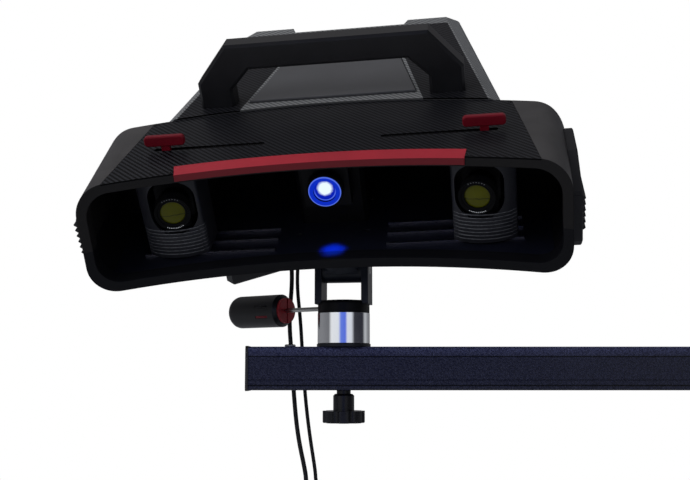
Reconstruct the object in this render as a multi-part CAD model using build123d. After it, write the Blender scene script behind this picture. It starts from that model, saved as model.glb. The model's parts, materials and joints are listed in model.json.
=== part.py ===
from build123d import *
from math import asin, cos, degrees, radians, sin, sqrt, tan
import os

# Structured-light scanner head on a pan and tilt mount, clamped to a horizontal arm.
# Sizes are millimetres and angles are degrees. +Z is up and the scanner looks towards -Y.
# The origin is the middle of the stud socket at the far end of the arm.

# Pose of the mount
pan_angle = -10.2
tilt_angle = 39.0
swivel_angle = 2.8

# Arm
arm_height = 47.2
arm_depth = 42.0
arm_wall = 3.0
arm_corner = 3.0
arm_reach = 420.0
arm_free_end = 104.0
arm_socket_end = 28.0
groove_width = 1.2
groove_depth = 0.8
groove_offset = 12.6
low_groove_offset = 18.2
cap_flange = 3.0
cap_lip = 0.8
cap_spigot = 12.0
socket_bore = 16.2
socket_wall = 5.0
socket_flange = 34.0
socket_flange_thickness = 2.5
ring_from_pan_axis = 60.0
ring_back_offset = 12.0
ring_diameter = 12.5
ring_wire = 3.2
end_screw_head = 6.4

# Base under the mount
base_diameter = 58.0
base_height = 34.4
base_ring_thickness = 3.3
base_ring_diameter = 59.7
spindle_diameter = 20.0
spindle_depth = 24.0
clamp_stud_diameter = 10.0
stud_engagement = 8.0
running_gap = 0.05
clearance = 0.3

# Star knob
star_diameter = 46.4
star_thickness = 13.0
star_lobes = 8
star_scallop = 9.0
star_hub_diameter = 23.2
star_hub_height = 18.4
star_neck_diameter = 15.5
star_neck_height = 3.8

# Collar, yoke and lock lever
collar_diameter = 57.5
collar_height = 13.3
collar_round = 4.0
yoke_base_thickness = 4.0
yoke_width = 59.7
yoke_arm_thickness = 7.7
yoke_depth = 32.0
pivot_above_collar = 34.6
axle_diameter = 10.0
lever_angle = 154.2
lever_above_base = 5.6
lever_rod_diameter = 5.0
lever_grip_start = 85.0
lever_grip_length = 77.0
lever_grip_diameter = 38.0
lever_grip_round = 12.0
lever_cap_diameter = 29.5
lever_cap_thickness = 4.0
lever_mark_length = 18.0
lever_mark_width = 3.2

# Tilt block and the shoe under the scanner
barrel_radius = 14.4
block_depth = 28.0
plate_diameter = 44.0
plate_thickness = 8.0
plate_base = 9.0
head_stud_diameter = 9.5
head_stud_length = 20.0
pivot_y = 91.2
pivot_below_head = 62.0
shoe_width = 88.0
shoe_length = 84.0
shoe_flange = 6.0
shoe_column = 40.0
screw_diameter = 5.0
screw_head = 8.5
screw_head_height = 4.0

# Front hood
hood_front_half = 241.0
hood_rear_half = 246.0
hood_height = 112.0
hood_corner = 30.0
hood_wall = 4.0
hood_back = 155.0
hood_back_radius = 830.0
hood_rear_corner = 26.0
front_radius = 900.0
front_middle = 21.0
front_lean = 21.0
rim_width = 9.5
rim_depth = 16.0
seam_height = -10.0
back_window_width = 300.0

# Top panel, red strip, slots and side pads
panel_thickness = 1.6
panel_front_half = 212.0
panel_back_half = 189.0
panel_gap = 0.3
strip_half_length = 142.0
strip_depth = 14.0
strip_drop = 8.0
strip_proud = 1.0
slot_inner = 59.0
slot_outer = 176.0
slot_width = 6.0
slot_y = 66.0
pad_stand = 8.0
pad_middle = 62.0
pad_depth = 24.0
pad_rib_root = 10.0
pad_low = -46.0
pad_ribs_top = 12.0
pad_rib_pitch = 6.5
pad_rib_count = 6
pad_rib_proud = 2.8
pad_rib_length = 48.0

# Rear chassis
chassis_top = 58.0
chassis_front_y = 139.0
chassis_rear_y = 403.0
chassis_front_half = 184.0
chassis_rear_half = 141.0
seam_front_half = 170.0
seam_rear_half = 123.5
shoulder_drop = 8.0
shoulder_round = 7.0
belly_chamfer = 16.0
notch_half_width = 70.0
notch_depth = 15.0
slab_front_half = 92.0
slab_rear_half = 50.0
slab_front_y = 168.0
slab_rear_y = 372.0
slab_proud = 2.0
slab_gap = 1.5

# Carrying handle
handle_outer_half = 145.0
handle_inner_half = 107.2
handle_top_outer_half = 109.5
handle_top_inner_half = 86.0
handle_height = 69.7
handle_clear_height = 40.8
handle_shoulder_outer = 28.5
handle_shoulder_inner = 19.3
handle_y = 161.0
handle_depth = 26.0
handle_round = 3.0

# Inner bench, rails and camera turrets
bench_thickness = 4.0
rail_y = (27.0, 48.0, 68.0)
rail_width = 3.0
rail_height = 2.2
rail_inner = 58.0
rail_outer = 197.0
turret_x = 159.0
turret_half_width = 32.0
turret_front = 17.0
turret_bulge = 10.0
turret_back = 72.0
turret_wall = 3.0
window_width = 48.0
window_height = 61.0
window_centre_z = 12.5
window_inward = 4.5
turret_rib_count = 8
turret_rib_pitch = 4.0
turret_rib_low = 3.5
turret_rib_proud = 0.8
optical_axis_z = 11.0
camera_size = 38.0
camera_length = 28.0
camera_front = 38.0
barrel_diameter = 37.0
barrel_front = 8.5
lens_diameter = 27.0
lens_recess = 2.2
lens_thickness = 4.0
toe_in = 9.5

# Slider knobs
knob_offset = 3.5
knob_stem_width = 8.8
knob_stem_depth = 5.2
knob_tab_width = 42.5
knob_tab_depth = 6.4
knob_tab_height = 11.3
knob_neck = 4.8
knob_foot_width = 22.0
knob_foot_thickness = 2.4

# Projector
projector_half_width = 36.0
projector_front = 78.0
projector_back = 150.0
nose_half_width = 24.0
nose_front = 52.0
projector_ring_radius = 18.5
projector_ring_front = 39.0
projector_glass_radius = 12.0
projector_wall = 3.0
led_setback = 22.0
led_sink_half = 24.0
led_sink_base = 4.0
led_fin_count = 7
led_fin_pitch = 7.5
led_fin_half = 1.0
led_emitter_radius = 9.0
led_emitter_height = 4.0

# Electronics, fan and rear panel
board_width = 150.0
board_length = 110.0
board_y = 205.0
board_lift = 8.0
rear_panel_width = 132.0
rear_panel_height = 92.0
rear_panel_thickness = 3.0
fan_size = 60.0
fan_depth = 15.0
fan_x = 28.0
switch_x = -38.0
switch_z = -20.0
switch_width = 15.0
switch_height = 21.0
switch_lean = 7.0
switch_pin_diameter = 2.0

# Cable duct and cables
duct_drop = 23.0
duct_wall = 3.0
duct_left = 112.0
duct_right = 52.0
duct_rear = 216.0
boot_y = 226.0
boot_drop = 24.0
boot_x = 68.0
boot_spacing = 12.0
boot_barrel_radius = 5.5
boot_length = 26.0
boot_pin_diameter = 3.0
data_cable_diameter = 5.2
power_cable_diameter = 4.4
data_coil_radius = 29.0
data_coil_thickness = 11.5
power_coil_radius = 25.0
power_coil_thickness = 9.8
cable_tail = 24.0

# Heights worked out from the sizes above, at the mount
arm_top = arm_height / 2
base_bottom = arm_top + base_ring_thickness
base_top = base_bottom + base_height
collar_top = base_top + collar_height
pivot_height = collar_top + pivot_above_collar
lever_height = base_top + lever_above_base
hood_half = hood_height / 2
pivot_z = -hood_half - pivot_below_head
front_slope = front_lean / (hood_height - 1)
side_slope = (hood_rear_half - hood_front_half) / hood_back
pad_face = hood_front_half + side_slope * pad_middle + pad_stand
bench_top = -hood_half + hood_wall + bench_thickness
turret_bottom = bench_top + rail_height + clearance
turret_top = hood_half - rim_width - clearance
boot_z = -hood_half - boot_drop

mount_place = Pos(-arm_reach, 0, 0)
pan_place = mount_place * Rot(0, 0, pan_angle)
tilt_place = pan_place * Pos(0, 0, pivot_height) * Rot(tilt_angle, 0, 0)
head_place = tilt_place * Rot(0, 0, swivel_angle) * Pos(0, -pivot_y, -pivot_z)


def outline(points):
    """A flat face through points in the XY plane, with its normal up."""
    area = 0
    for (x0, y0), (x1, y1) in zip(points, points[1:] + points[:1]):
        area += x0 * y1 - x1 * y0
    if area < 0:
        points = points[::-1]
    return Polygon(*points, align=None)


def up(sketch, z0, z1):
    return extrude(Pos(0, 0, z0) * sketch, amount=z1 - z0)


def along_x(sketch, x0, x1):
    """Extrude a sketch drawn in (y, z) from x0 to x1."""
    plane = Plane(origin=(x0, 0, 0), x_dir=(0, 1, 0), z_dir=(1, 0, 0))
    return extrude(plane * sketch, amount=x1 - x0)


def along_y(sketch, y0, y1):
    """Extrude a sketch drawn in (x, z) from y0 to y1."""
    plane = Plane(origin=(0, y0, 0), x_dir=(1, 0, 0), z_dir=(0, -1, 0))
    return extrude(plane * sketch, amount=y0 - y1)


def block(x0, x1, y0, y1, z0, z1):
    return Pos((x0 + x1) / 2, (y0 + y1) / 2, (z0 + z1) / 2) * Box(x1 - x0, y1 - y0, z1 - z0)


def rod_z(x, y, radius, z0, z1):
    return Pos(x, y, (z0 + z1) / 2) * Cylinder(radius, abs(z1 - z0))


def rod_y(x, z, radius, y0, y1):
    return Pos(x, (y0 + y1) / 2, z) * Rot(90, 0, 0) * Cylinder(radius, abs(y1 - y0))


def rod_x(y, z, radius, x0, x1):
    return Pos((x0 + x1) / 2, y, z) * Rot(0, 90, 0) * Cylinder(radius, abs(x1 - x0))


def mirrored(shape):
    return shape.mirror(Plane.YZ)


# The arm

def arm_section(inset):
    radius = max(arm_corner - inset, 0.5)
    return RectangleRounded(arm_depth - 2 * inset, arm_height - 2 * inset, radius)


def arm_tube():
    left = -arm_reach - arm_free_end
    tube = along_x(arm_section(0), left, arm_socket_end)
    tube -= along_x(arm_section(arm_wall), left - 1, arm_socket_end + 1)
    for side in (-1, 1):
        face = side * arm_depth / 2
        for z in (groove_offset, -groove_offset, -low_groove_offset):
            tube -= block(left - 1, arm_socket_end + 1, face - groove_depth, face + groove_depth,
                          z - groove_width / 2, z + groove_width / 2)
    tube -= rod_z(-arm_reach, 0, clamp_stud_diameter / 2 + clearance, -arm_height, arm_height)
    tube -= rod_z(0, 0, socket_bore / 2 + socket_wall + running_gap, -arm_height, arm_height)
    tube -= rod_z(-arm_reach - ring_from_pan_axis, ring_back_offset, end_screw_head / 4 + running_gap,
                  0, arm_height)
    return tube


def arm_end_caps():
    caps = []
    for end, way in ((-arm_reach - arm_free_end, -1), (arm_socket_end, 1)):
        flange = along_x(arm_section(-cap_lip), end, end + way * cap_flange)
        inside = arm_section(arm_wall + clearance)
        caps.append(flange + along_x(inside, end - way * cap_spigot, end))
    return caps


def arm_socket_bush():
    outer = socket_bore / 2 + socket_wall
    bush = rod_z(0, 0, outer, -arm_top, arm_top)
    bush += rod_z(0, 0, socket_flange / 2, arm_top, arm_top + socket_flange_thickness)
    return bush - rod_z(0, 0, socket_bore / 2, -arm_height, arm_height)


def arm_ring_screw():
    place = Pos(-arm_reach - ring_from_pan_axis, ring_back_offset, arm_top)
    ring = Torus((ring_diameter - ring_wire) / 2, ring_wire / 2)
    ring = place * Pos(0, 0, ring_wire / 2) * ring
    radius = end_screw_head / 2
    dome = Sphere(radius) & block(-radius, radius, -radius, radius, 0, radius)
    shank = rod_z(0, 0, radius / 2, -arm_wall - 4, 0.5)
    slot = block(-radius, radius, -0.5, 0.5, radius - 1.2, radius + 1)
    return [ring, place * (dome + shank - slot)]


# The base, its knob and the collar

def base_ring():
    ring = rod_z(0, 0, base_ring_diameter / 2, arm_top, base_bottom)
    return mount_place * (ring - rod_z(0, 0, clamp_stud_diameter, arm_top - 1, base_bottom + 1))


def base_cylinder():
    body = rod_z(0, 0, base_diameter / 2, base_bottom, base_top - clearance / 2)
    body -= rod_z(0, 0, spindle_diameter / 2 + running_gap, base_top - spindle_depth, base_top)
    stud_hole = clamp_stud_diameter / 2 + running_gap
    body -= rod_z(0, 0, stud_hole, base_bottom - 1, base_bottom + stud_engagement)
    return mount_place * chamfer(body.edges().filter_by(GeomType.CIRCLE).sort_by(SortBy.RADIUS)[-2:], 0.6)


def clamp_stud():
    low = -arm_top - clearance - star_neck_height - star_hub_height
    return mount_place * rod_z(0, 0, clamp_stud_diameter / 2, low, base_bottom + stud_engagement - 1)


def star_knob():
    neck_top = -arm_top - clearance
    hub_top = neck_top - star_neck_height
    wheel_top = hub_top - star_hub_height
    wheel_bottom = wheel_top - star_thickness
    wheel = rod_z(0, 0, star_diameter / 2, wheel_bottom, wheel_top)
    reach = star_diameter / 2 + star_scallop / 2 - 2.5
    for i in range(star_lobes):
        turn = radians(360 * (i + 0.5) / star_lobes)
        x = reach * cos(turn)
        y = reach * sin(turn)
        wheel -= rod_z(x, y, star_scallop / 2, wheel_bottom - 1, wheel_top + 1)
    wheel = chamfer(wheel.faces().sort_by(Axis.Z)[0].edges(), 0.8)
    hub = rod_z(0, 0, star_hub_diameter / 2, wheel_top, hub_top)
    hub = chamfer(hub.faces().sort_by(Axis.Z)[-1].edges(), 2.0)
    knob = wheel + hub + rod_z(0, 0, star_neck_diameter / 2, hub_top, neck_top)
    return mount_place * (knob - rod_z(0, 0, clamp_stud_diameter / 2 + running_gap, wheel_top, 0))


def lever_frame():
    return pan_place * Pos(0, 0, lever_height) * Rot(0, 0, lever_angle)


def collar():
    body = rod_z(0, 0, collar_diameter / 2, base_top, collar_top)
    body = fillet(body.faces().sort_by(Axis.Z)[-1].edges(), collar_round)
    slot = yoke_depth / 2 + running_gap
    slot_bottom = collar_top - yoke_base_thickness
    body -= block(-collar_diameter, collar_diameter, -slot, slot, slot_bottom, collar_top + 1)
    body -= rod_z(0, 0, spindle_diameter / 2 + running_gap, base_top - 1, collar_top + 1)
    hole = rod_x(0, 0, lever_rod_diameter / 2 + running_gap * 2, spindle_diameter / 2, collar_diameter)
    return pan_place * (body - Pos(0, 0, lever_height) * Rot(0, 0, lever_angle) * hole)


def pan_spindle():
    low = base_top - spindle_depth + clearance
    return pan_place * rod_z(0, 0, spindle_diameter / 2, low, collar_top - yoke_base_thickness)


def yoke():
    half = yoke_width / 2
    base = block(-half, half, -yoke_depth / 2, yoke_depth / 2, collar_top - yoke_base_thickness, collar_top)
    radius = yoke_depth / 2
    side = outline([(-radius, collar_top - yoke_base_thickness), (radius, collar_top - yoke_base_thickness),
                    (radius, pivot_height), (-radius, pivot_height)])
    side += Pos(0, pivot_height) * Circle(radius)
    arm = along_x(side, half - yoke_arm_thickness, half)
    body = base + arm + mirrored(arm)
    return pan_place * (body - rod_x(0, pivot_height, axle_diameter / 2 + running_gap, -half - 1, half + 1))


def tilt_axle():
    half = yoke_width / 2
    axle = rod_x(0, pivot_height, axle_diameter / 2, -half, half)
    for side in (-1, 1):
        axle -= rod_x(0, pivot_height, axle_diameter / 4, side * half, side * (half - 4))
    return pan_place * axle


def lever_rod():
    start = spindle_diameter / 2 + clearance
    end = lever_grip_start + lever_grip_length - 12
    return lever_frame() * rod_x(0, 0, lever_rod_diameter / 2, start, end)


def lever_grip():
    start = lever_grip_start
    end = start + lever_grip_length
    radius = lever_grip_diameter / 2
    grip = rod_x(0, 0, radius, start, end)
    grip = fillet(grip.faces().sort_by(Axis.X)[-1].edges(), lever_grip_round)
    bevel = (lever_grip_diameter - lever_cap_diameter) / 2 - 0.5
    grip = chamfer(grip.faces().sort_by(Axis.X)[0].edges(), bevel)
    grip -= rod_x(0, 0, lever_rod_diameter / 2 + running_gap, start - 1, end - 11)
    for turn in (12, -24):
        mark = Pos((start * 2 + lever_mark_length) / 2 + 12, radius, 0)
        mark = Rot(turn, 0, 0) * mark * Box(lever_mark_length, 2.4, lever_mark_width)
        grip -= mark
    return lever_frame() * grip


def lever_cap():
    end = lever_grip_start
    start = end - lever_cap_thickness
    radius = lever_cap_diameter / 2
    cap = rod_x(0, 0, radius, start, end)
    cap -= rod_x(0, 0, lever_rod_diameter / 2 + running_gap, start - 1, end + 1)
    for turn in (0, 90):
        cap -= Rot(turn, 0, 0) * block(start - 1, start + 1.2, -1.1, 1.1, -radius, radius)
    return lever_frame() * cap


# The tilting block and the shoe

def tilt_block():
    half = yoke_width / 2 - yoke_arm_thickness - clearance
    body = rod_x(0, 0, barrel_radius, -half, half)
    body += block(-half + 3, half - 3, -block_depth / 2, block_depth / 2, 0, plate_base)
    body += rod_z(0, 0, plate_diameter / 2, plate_base, plate_base + plate_thickness)
    body -= rod_x(0, 0, axle_diameter / 2 + running_gap, -half - 1, half + 1)
    top = plate_base + plate_thickness
    body -= rod_z(0, 0, head_stud_diameter / 2 + running_gap, axle_diameter / 2 + 2, top + 1)
    return tilt_place * body


def head_stud():
    low = axle_diameter / 2 + 2
    return tilt_place * rod_z(0, 0, head_stud_diameter / 2, low, low + head_stud_length)


def shoe_holes():
    x = shoe_width / 2 - 8
    y = shoe_length / 2 - 8
    return [(sx * x, pivot_y + sy * y) for sx in (-1, 1) for sy in (-1, 1)]


def mount_shoe():
    low = pivot_z + plate_base + plate_thickness + clearance / 2
    high = -hood_half
    foot = Pos(0, pivot_y, low) * extrude(Circle(plate_diameter / 2), amount=6)
    half = shoe_column / 2
    column = block(-half, half, pivot_y - half, pivot_y + half, low + 6, high)
    column = fillet(column.edges().filter_by(Axis.Z), 8)
    flange = Pos(0, pivot_y, high - shoe_flange) * extrude(
        RectangleRounded(shoe_width, shoe_length, 8), amount=shoe_flange)
    shoe = foot + column + flange
    drop = high - shoe_flange
    for turn in range(4):
        reach = (shoe_width if turn % 2 == 0 else shoe_length) / 2 - 6
        rib = outline([(half - 1, drop), (reach, drop), (half - 1, low + 8)])
        rib = extrude(Plane(origin=(0, 2.5, 0), x_dir=(1, 0, 0), z_dir=(0, -1, 0)) * rib, amount=5)
        shoe += Pos(0, pivot_y, 0) * Rot(0, 0, 90 * turn) * rib
    shoe -= rod_z(0, pivot_y, head_stud_diameter / 2 + running_gap, low - 1, low + head_stud_length)
    for x, y in shoe_holes():
        shoe -= rod_z(x, y, screw_diameter / 2 + running_gap, drop - 1, high + 1)
    return shoe


def screw(x, y, z_head, length):
    """A screw that points up, with the face under its head at z_head."""
    shank = rod_z(x, y, screw_diameter / 2, z_head, z_head + length)
    head = rod_z(x, y, screw_head / 2, z_head - screw_head_height, z_head)
    socket = Pos(x, y, z_head - screw_head_height) * extrude(RegularPolygon(2.3, 6), amount=2.4)
    return shank + head - socket


def housing_screws():
    screws = []
    flange_bottom = -hood_half - shoe_flange
    for x, y in shoe_holes():
        screws.append(screw(x, y, flange_bottom, shoe_flange + hood_wall + bench_thickness - 0.5))
    for x, y in handle_holes():
        screws.append(screw(x, y, chassis_top - hood_wall, hood_wall + 12))
    return screws


# The front hood

def hood_side(y):
    """Half the width of the hood, which spreads a little towards its back."""
    return hood_front_half + side_slope * y


def hood_plan(inset):
    """Seen from above: straight sides that spread, and a bowed back."""
    centre = hood_back - hood_back_radius
    radius = hood_back_radius - inset
    half = hood_front_half - inset
    b = half * side_slope - centre
    c = half ** 2 + centre ** 2 - radius ** 2
    a = 1 + side_slope ** 2
    end = (sqrt(b ** 2 - a * c) - b) / a
    corner = half + side_slope * end
    front = front_middle - 120
    wide = half + side_slope * front
    back = ThreePointArc((corner, end), (0, centre + radius), (-corner, end))
    straights = Polyline((-corner, end), (-wide, front), (wide, front), (corner, end))
    face = make_face([back] + straights.edges())
    rear = face.vertices().sort_by(Axis.Y)[-2:]
    return fillet(rear, max(hood_rear_corner - inset, 4))


def spreading_bar(side_inset, level_inset, corner, y0, y1):
    """A bar with rounded edges along the depth of the hood, with the same spreading sides."""
    half = hood_side(y0) - side_inset
    section = RectangleRounded(2 * half, hood_height - 2 * level_inset, corner)
    drift = abs(side_slope) * (y1 - y0)
    section &= Pos((half - drift) / 2, 0) * Rectangle(half + drift + 40, hood_height + 40)
    plane = Plane(origin=(0, y0, 0), x_dir=(1, 0, 0), z_dir=(0, -1, 0))
    length = (y1 - y0) * sqrt(1 + side_slope ** 2)
    right = extrude(plane * section, amount=length, dir=(side_slope, 1, 0))
    return right + mirrored(right)


def front_arc_y(x, z):
    """Where the leaning, hollow front face lies."""
    bow = front_radius - sqrt(front_radius ** 2 - x ** 2)
    return front_middle - bow - (hood_half - 1 - z) * front_slope


def ahead_of_front(shift):
    """Everything in front of the front face, which is moved back by shift."""
    reach = hood_rear_half + 40
    top = hood_half + 20
    middle = front_arc_y(0, top) + shift
    side = front_arc_y(reach, top) + shift
    ahead = middle - 300
    bow = ThreePointArc((reach, side), (0, middle), (-reach, side))
    straights = Polyline((-reach, side), (-reach, ahead), (reach, ahead), (reach, side))
    face = make_face([bow] + straights.edges())
    height = hood_height + 40
    length = height * sqrt(1 + front_slope ** 2)
    return extrude(Pos(0, 0, top) * face, amount=length, dir=(0, -front_slope, -1))


def hood_block(inset, shift):
    body = spreading_bar(inset, inset, hood_corner - inset, front_middle - 110, hood_back + 40)
    body &= up(hood_plan(inset), -hood_half - 1, hood_half + 1)
    return body - ahead_of_front(shift)


def hood_shell():
    shell = hood_block(0, 0) - hood_block(hood_wall, rim_depth)
    corner = hood_corner - rim_width + 4
    shell -= spreading_bar(rim_width, rim_width, corner, front_middle - 110, front_middle + rim_depth)
    window = back_window_width / 2
    floor = -hood_half + hood_wall
    shell -= block(-window, window, hood_back - 60, hood_back + 20, floor, hood_half - 10)
    for side in (-1, 1):
        shell -= slot_cut(side)
    for x, y in shoe_holes():
        shell -= rod_z(x, y, screw_diameter / 2 + running_gap, -hood_half - 1, floor + 1)
    return shell


def slot_cut(side):
    middle = side * (slot_inner + slot_outer) / 2
    slot = SlotOverall(slot_outer - slot_inner, slot_width)
    return up(Pos(middle, slot_y) * slot, hood_half - 12, hood_half + 8)


def panel_outline(gap):
    front = front_middle - 60
    back = hood_back + 20
    per_y = (panel_front_half - panel_back_half) / hood_back
    x_front = panel_front_half - per_y * front - gap
    x_back = panel_front_half - per_y * back - gap
    return outline([(-x_front, front), (x_front, front), (x_back, back), (-x_back, back)])


def strip_section(gap):
    front = front_middle - gap
    lip = front_middle + 4 + gap
    back = front_middle + strip_depth + gap
    top = hood_half + gap
    low = hood_half - gap
    return outline([(front - 0.9, top - 1.4), (front - 2.3, low - strip_drop), (lip, low - strip_drop),
                    (lip, low - 4), (back, low - 4), (back, top + strip_proud)])


def strip_solid(gap):
    half_angle = degrees(asin((strip_half_length + gap) / front_radius))
    axis_y = front_middle - front_radius
    face = Plane(origin=(0, 0, 0), x_dir=(0, 1, 0), z_dir=(1, 0, 0)) * strip_section(gap)
    bar = revolve(face, Axis((0, axis_y, 0), (0, 0, 1)), 2 * half_angle)
    return Pos(0, axis_y, 0) * Rot(0, 0, -half_angle) * Pos(0, -axis_y, 0) * bar


def strip_seat():
    """The room that the strip takes up, open towards the top."""
    room = strip_solid(0.1)
    return room + Pos(0, 0, strip_proud + 1) * room


def hood_upper_shell():
    limit = 2 * hood_rear_half
    upper = hood_shell() & block(-limit, limit, -limit, limit, seam_height, hood_height)
    upper -= up(panel_outline(0), hood_half - panel_thickness, hood_height)
    return upper - strip_seat()


def hood_lower_shell():
    limit = 2 * hood_rear_half
    return hood_shell() & block(-limit, limit, -limit, limit, -hood_height, seam_height)


def carbon_top_panel():
    panel = up(panel_outline(panel_gap), hood_half - panel_thickness, hood_half + 1) & hood_block(0, 0)
    panel -= strip_seat()
    for side in (-1, 1):
        panel -= slot_cut(side)
    return panel


def red_front_strip():
    return strip_solid(0)


def side_pad(upper_edge):
    """The ribbed rubber pad on the right end of the hood, with its upper edge as (y, z) points."""
    shape = outline(upper_edge + [(-1, -5), (-3, pad_low + 10), (6, pad_low), (95, pad_low)])
    pad = along_x(shape, pad_face - pad_depth, pad_face)
    pad = chamfer(pad.faces().sort_by(Axis.X)[-1].edges(), 1.2)
    root = pad_face - pad_rib_root
    for i in range(pad_rib_count):
        z = pad_ribs_top - i * pad_rib_pitch
        ridge = outline([(root, z), (pad_face - 0.4, z), (pad_face + pad_rib_proud, z - 2.6),
                         (pad_face + pad_rib_proud, z - 3.4), (pad_face - 0.4, z - 6),
                         (root, z - 6)])
        pad += along_y(ridge, 1, 1 + pad_rib_length)
    return pad - spreading_bar(-0.1, -0.1, hood_corner, -60, hood_back)


def side_pads():
    """The right pad reaches up along the side, and the left one ends level above its ribs."""
    right = side_pad([(95, 38), (87, 38), (50, 36), (20, 24), (2, 16)])
    left = side_pad([(95, 18), (8, 18), (2, 14)])
    return right, mirrored(left)


# The rear chassis

def line_at(y, at_front, at_rear):
    share = (y - chassis_front_y) / (chassis_rear_y - chassis_front_y)
    return at_front + (at_rear - at_front) * share


def chassis_section(y, inset):
    outer = line_at(y, chassis_front_half, chassis_rear_half) - inset
    seam = line_at(y, seam_front_half, seam_rear_half) - inset * 0.8
    top = chassis_top - inset
    low = -hood_half + inset
    shoulder = top - shoulder_drop
    belly = low + belly_chamfer
    points = [(outer, shoulder), (seam, top), (-seam, top), (-outer, shoulder), (-outer, belly),
              (-outer + belly_chamfer, low), (outer - belly_chamfer, low), (outer, belly)]
    face = outline(points)
    corners = [v for v in face.vertices() if abs(v.Y - shoulder) < 0.01]
    face = fillet(corners, shoulder_round)
    return Plane(origin=(0, y, 0), x_dir=(1, 0, 0), z_dir=(0, -1, 0)) * face


def chassis_block(inset):
    start = chassis_front_y - 25
    end = chassis_rear_y - inset
    body = loft([chassis_section(start, inset), chassis_section(end, inset)], ruled=True)
    half = notch_half_width + inset
    notch = outline([(-half - 6, chassis_rear_y + 5), (-half, chassis_rear_y - notch_depth - inset),
                     (half, chassis_rear_y - notch_depth - inset), (half + 6, chassis_rear_y + 5)])
    return body - up(notch, -hood_height, hood_height)


def slab_points(gap):
    return [(-slab_front_half - gap, slab_front_y - gap), (slab_front_half + gap, slab_front_y - gap),
            (slab_rear_half + gap, slab_rear_y + gap), (-slab_rear_half - gap, slab_rear_y + gap)]


def side_panel(side):
    """A thin patterned panel between the slab and the seam."""
    inner_rear = slab_rear_half + 4
    front = hood_back - 24
    rear = chassis_rear_y - notch_depth - 6
    slope = (slab_front_half - slab_rear_half) / (slab_rear_y - slab_front_y)
    inner_front = slab_front_half + 4 + slope * (slab_front_y - front)
    outer_front = line_at(front, seam_front_half, seam_rear_half) - 2
    outer_rear = line_at(rear, seam_front_half, seam_rear_half) - 2
    points = [(side * inner_front, front), (side * outer_front, front), (side * outer_rear, rear),
              (side * inner_rear, rear)]
    return up(outline(points), chassis_top - panel_thickness, chassis_top)


def behind_hood(shape):
    return shape - (up(hood_plan(-0.1), -hood_height, hood_height))


def chassis_side_panels():
    panels = []
    for side in (-1, 1):
        panel = behind_hood(side_panel(side))
        for x, y in handle_holes():
            panel -= rod_z(x, y, screw_diameter / 2 + running_gap, chassis_top - 3, chassis_top + 1)
        panels.append(panel)
    return panels


def chassis_shell():
    shell = behind_hood(chassis_block(0) - chassis_block(hood_wall))
    opening = back_window_width / 2
    sill = -hood_half + hood_wall
    shell -= block(-opening, opening, chassis_front_y - 30, hood_back + 12, sill, hood_half - 10)
    for side in (-1, 1):
        shell -= side_panel(side)
    shell -= up(outline(slab_points(slab_gap)), chassis_top - panel_thickness, chassis_top + 1)
    half_width = rear_panel_width / 2 - 6
    half_height = rear_panel_height / 2 - 6
    wall = chassis_rear_y - notch_depth
    shell -= block(-half_width, half_width, wall - hood_wall - 1, wall + 1, -half_height, half_height)
    for x, y in handle_holes():
        shell -= rod_z(x, y, screw_diameter / 2 + running_gap, chassis_top - hood_wall - 2, chassis_top + 1)
    return shell


def chassis_upper_shell():
    limit = 2 * hood_rear_half
    return chassis_shell() & block(-limit, limit, 0, limit, seam_height, hood_height)


def chassis_lower_shell():
    limit = 2 * hood_rear_half
    return chassis_shell() & block(-limit, limit, 0, limit, -hood_height, seam_height)


def centre_slab():
    slab = up(outline(slab_points(0)), chassis_top - panel_thickness, chassis_top + slab_proud)
    return chamfer(slab.faces().sort_by(Axis.Z)[-1].edges(), 0.8)


def handle_holes():
    x = (handle_outer_half + handle_inner_half) / 2
    return [(side * x, handle_y + handle_depth / 2 + way * 7) for side in (-1, 1) for way in (-1, 1)]


def handle():
    base = chassis_top
    top = base + handle_height
    clear = base + handle_clear_height
    half = [(handle_inner_half, base), (handle_outer_half, base),
            (handle_outer_half, base + handle_shoulder_outer), (handle_top_outer_half, top)]
    other = [(-x, z) for x, z in reversed(half)]
    inner = [(-handle_inner_half, base + handle_shoulder_inner), (-handle_top_inner_half, clear),
             (handle_top_inner_half, clear), (handle_inner_half, base + handle_shoulder_inner)]
    bar = along_y(outline(half + other + inner), handle_y, handle_y + handle_depth)
    long_edges = [e for e in bar.edges() if abs(e.center().Y - handle_y - handle_depth / 2) > 1
                  and e.center().Z > base + 0.5]
    bar = chamfer(long_edges, handle_round)
    for x, y in handle_holes():
        bar -= rod_z(x, y, screw_diameter / 2 + running_gap, base - 1, base + 13)
    return bar


# Inside the hood

def optical_bench():
    floor = -hood_half + hood_wall
    inside = spreading_bar(hood_wall + 0.5, hood_wall, hood_corner - hood_wall, -60, hood_back)
    bench = inside & up(hood_plan(hood_wall + 8), floor, bench_top)
    bench -= ahead_of_front(rim_depth + 1)
    window = back_window_width / 2 - 1
    limit = 2 * hood_rear_half
    bench -= block(-limit, limit, hood_back - 30, hood_back + 20, floor - 1, bench_top + 1)
    bench += block(-window, window, hood_back - 40, hood_back + 14, floor, bench_top)
    tray = board_width / 2 + 8
    bench += block(-tray, tray, hood_back, board_y + board_length + 10, floor, bench_top)
    for x in (-board_width / 2 + 8, board_width / 2 - 8):
        for y in (board_y + 8, board_y + board_length - 8):
            bench += rod_z(x, y, 4, bench_top, bench_top + board_lift)
    for x, y in shoe_holes():
        bench -= rod_z(x, y, screw_diameter / 2 + running_gap, floor - 1, bench_top + 1)
    return bench


def guide_rails():
    rails = []
    half = rail_width / 2
    for x0, x1 in ((-rail_outer, -rail_inner), (rail_inner, rail_outer)):
        for y in rail_y:
            rails.append(block(x0, x1, y - half, y + half, bench_top, bench_top + rail_height))
    return rails


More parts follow.
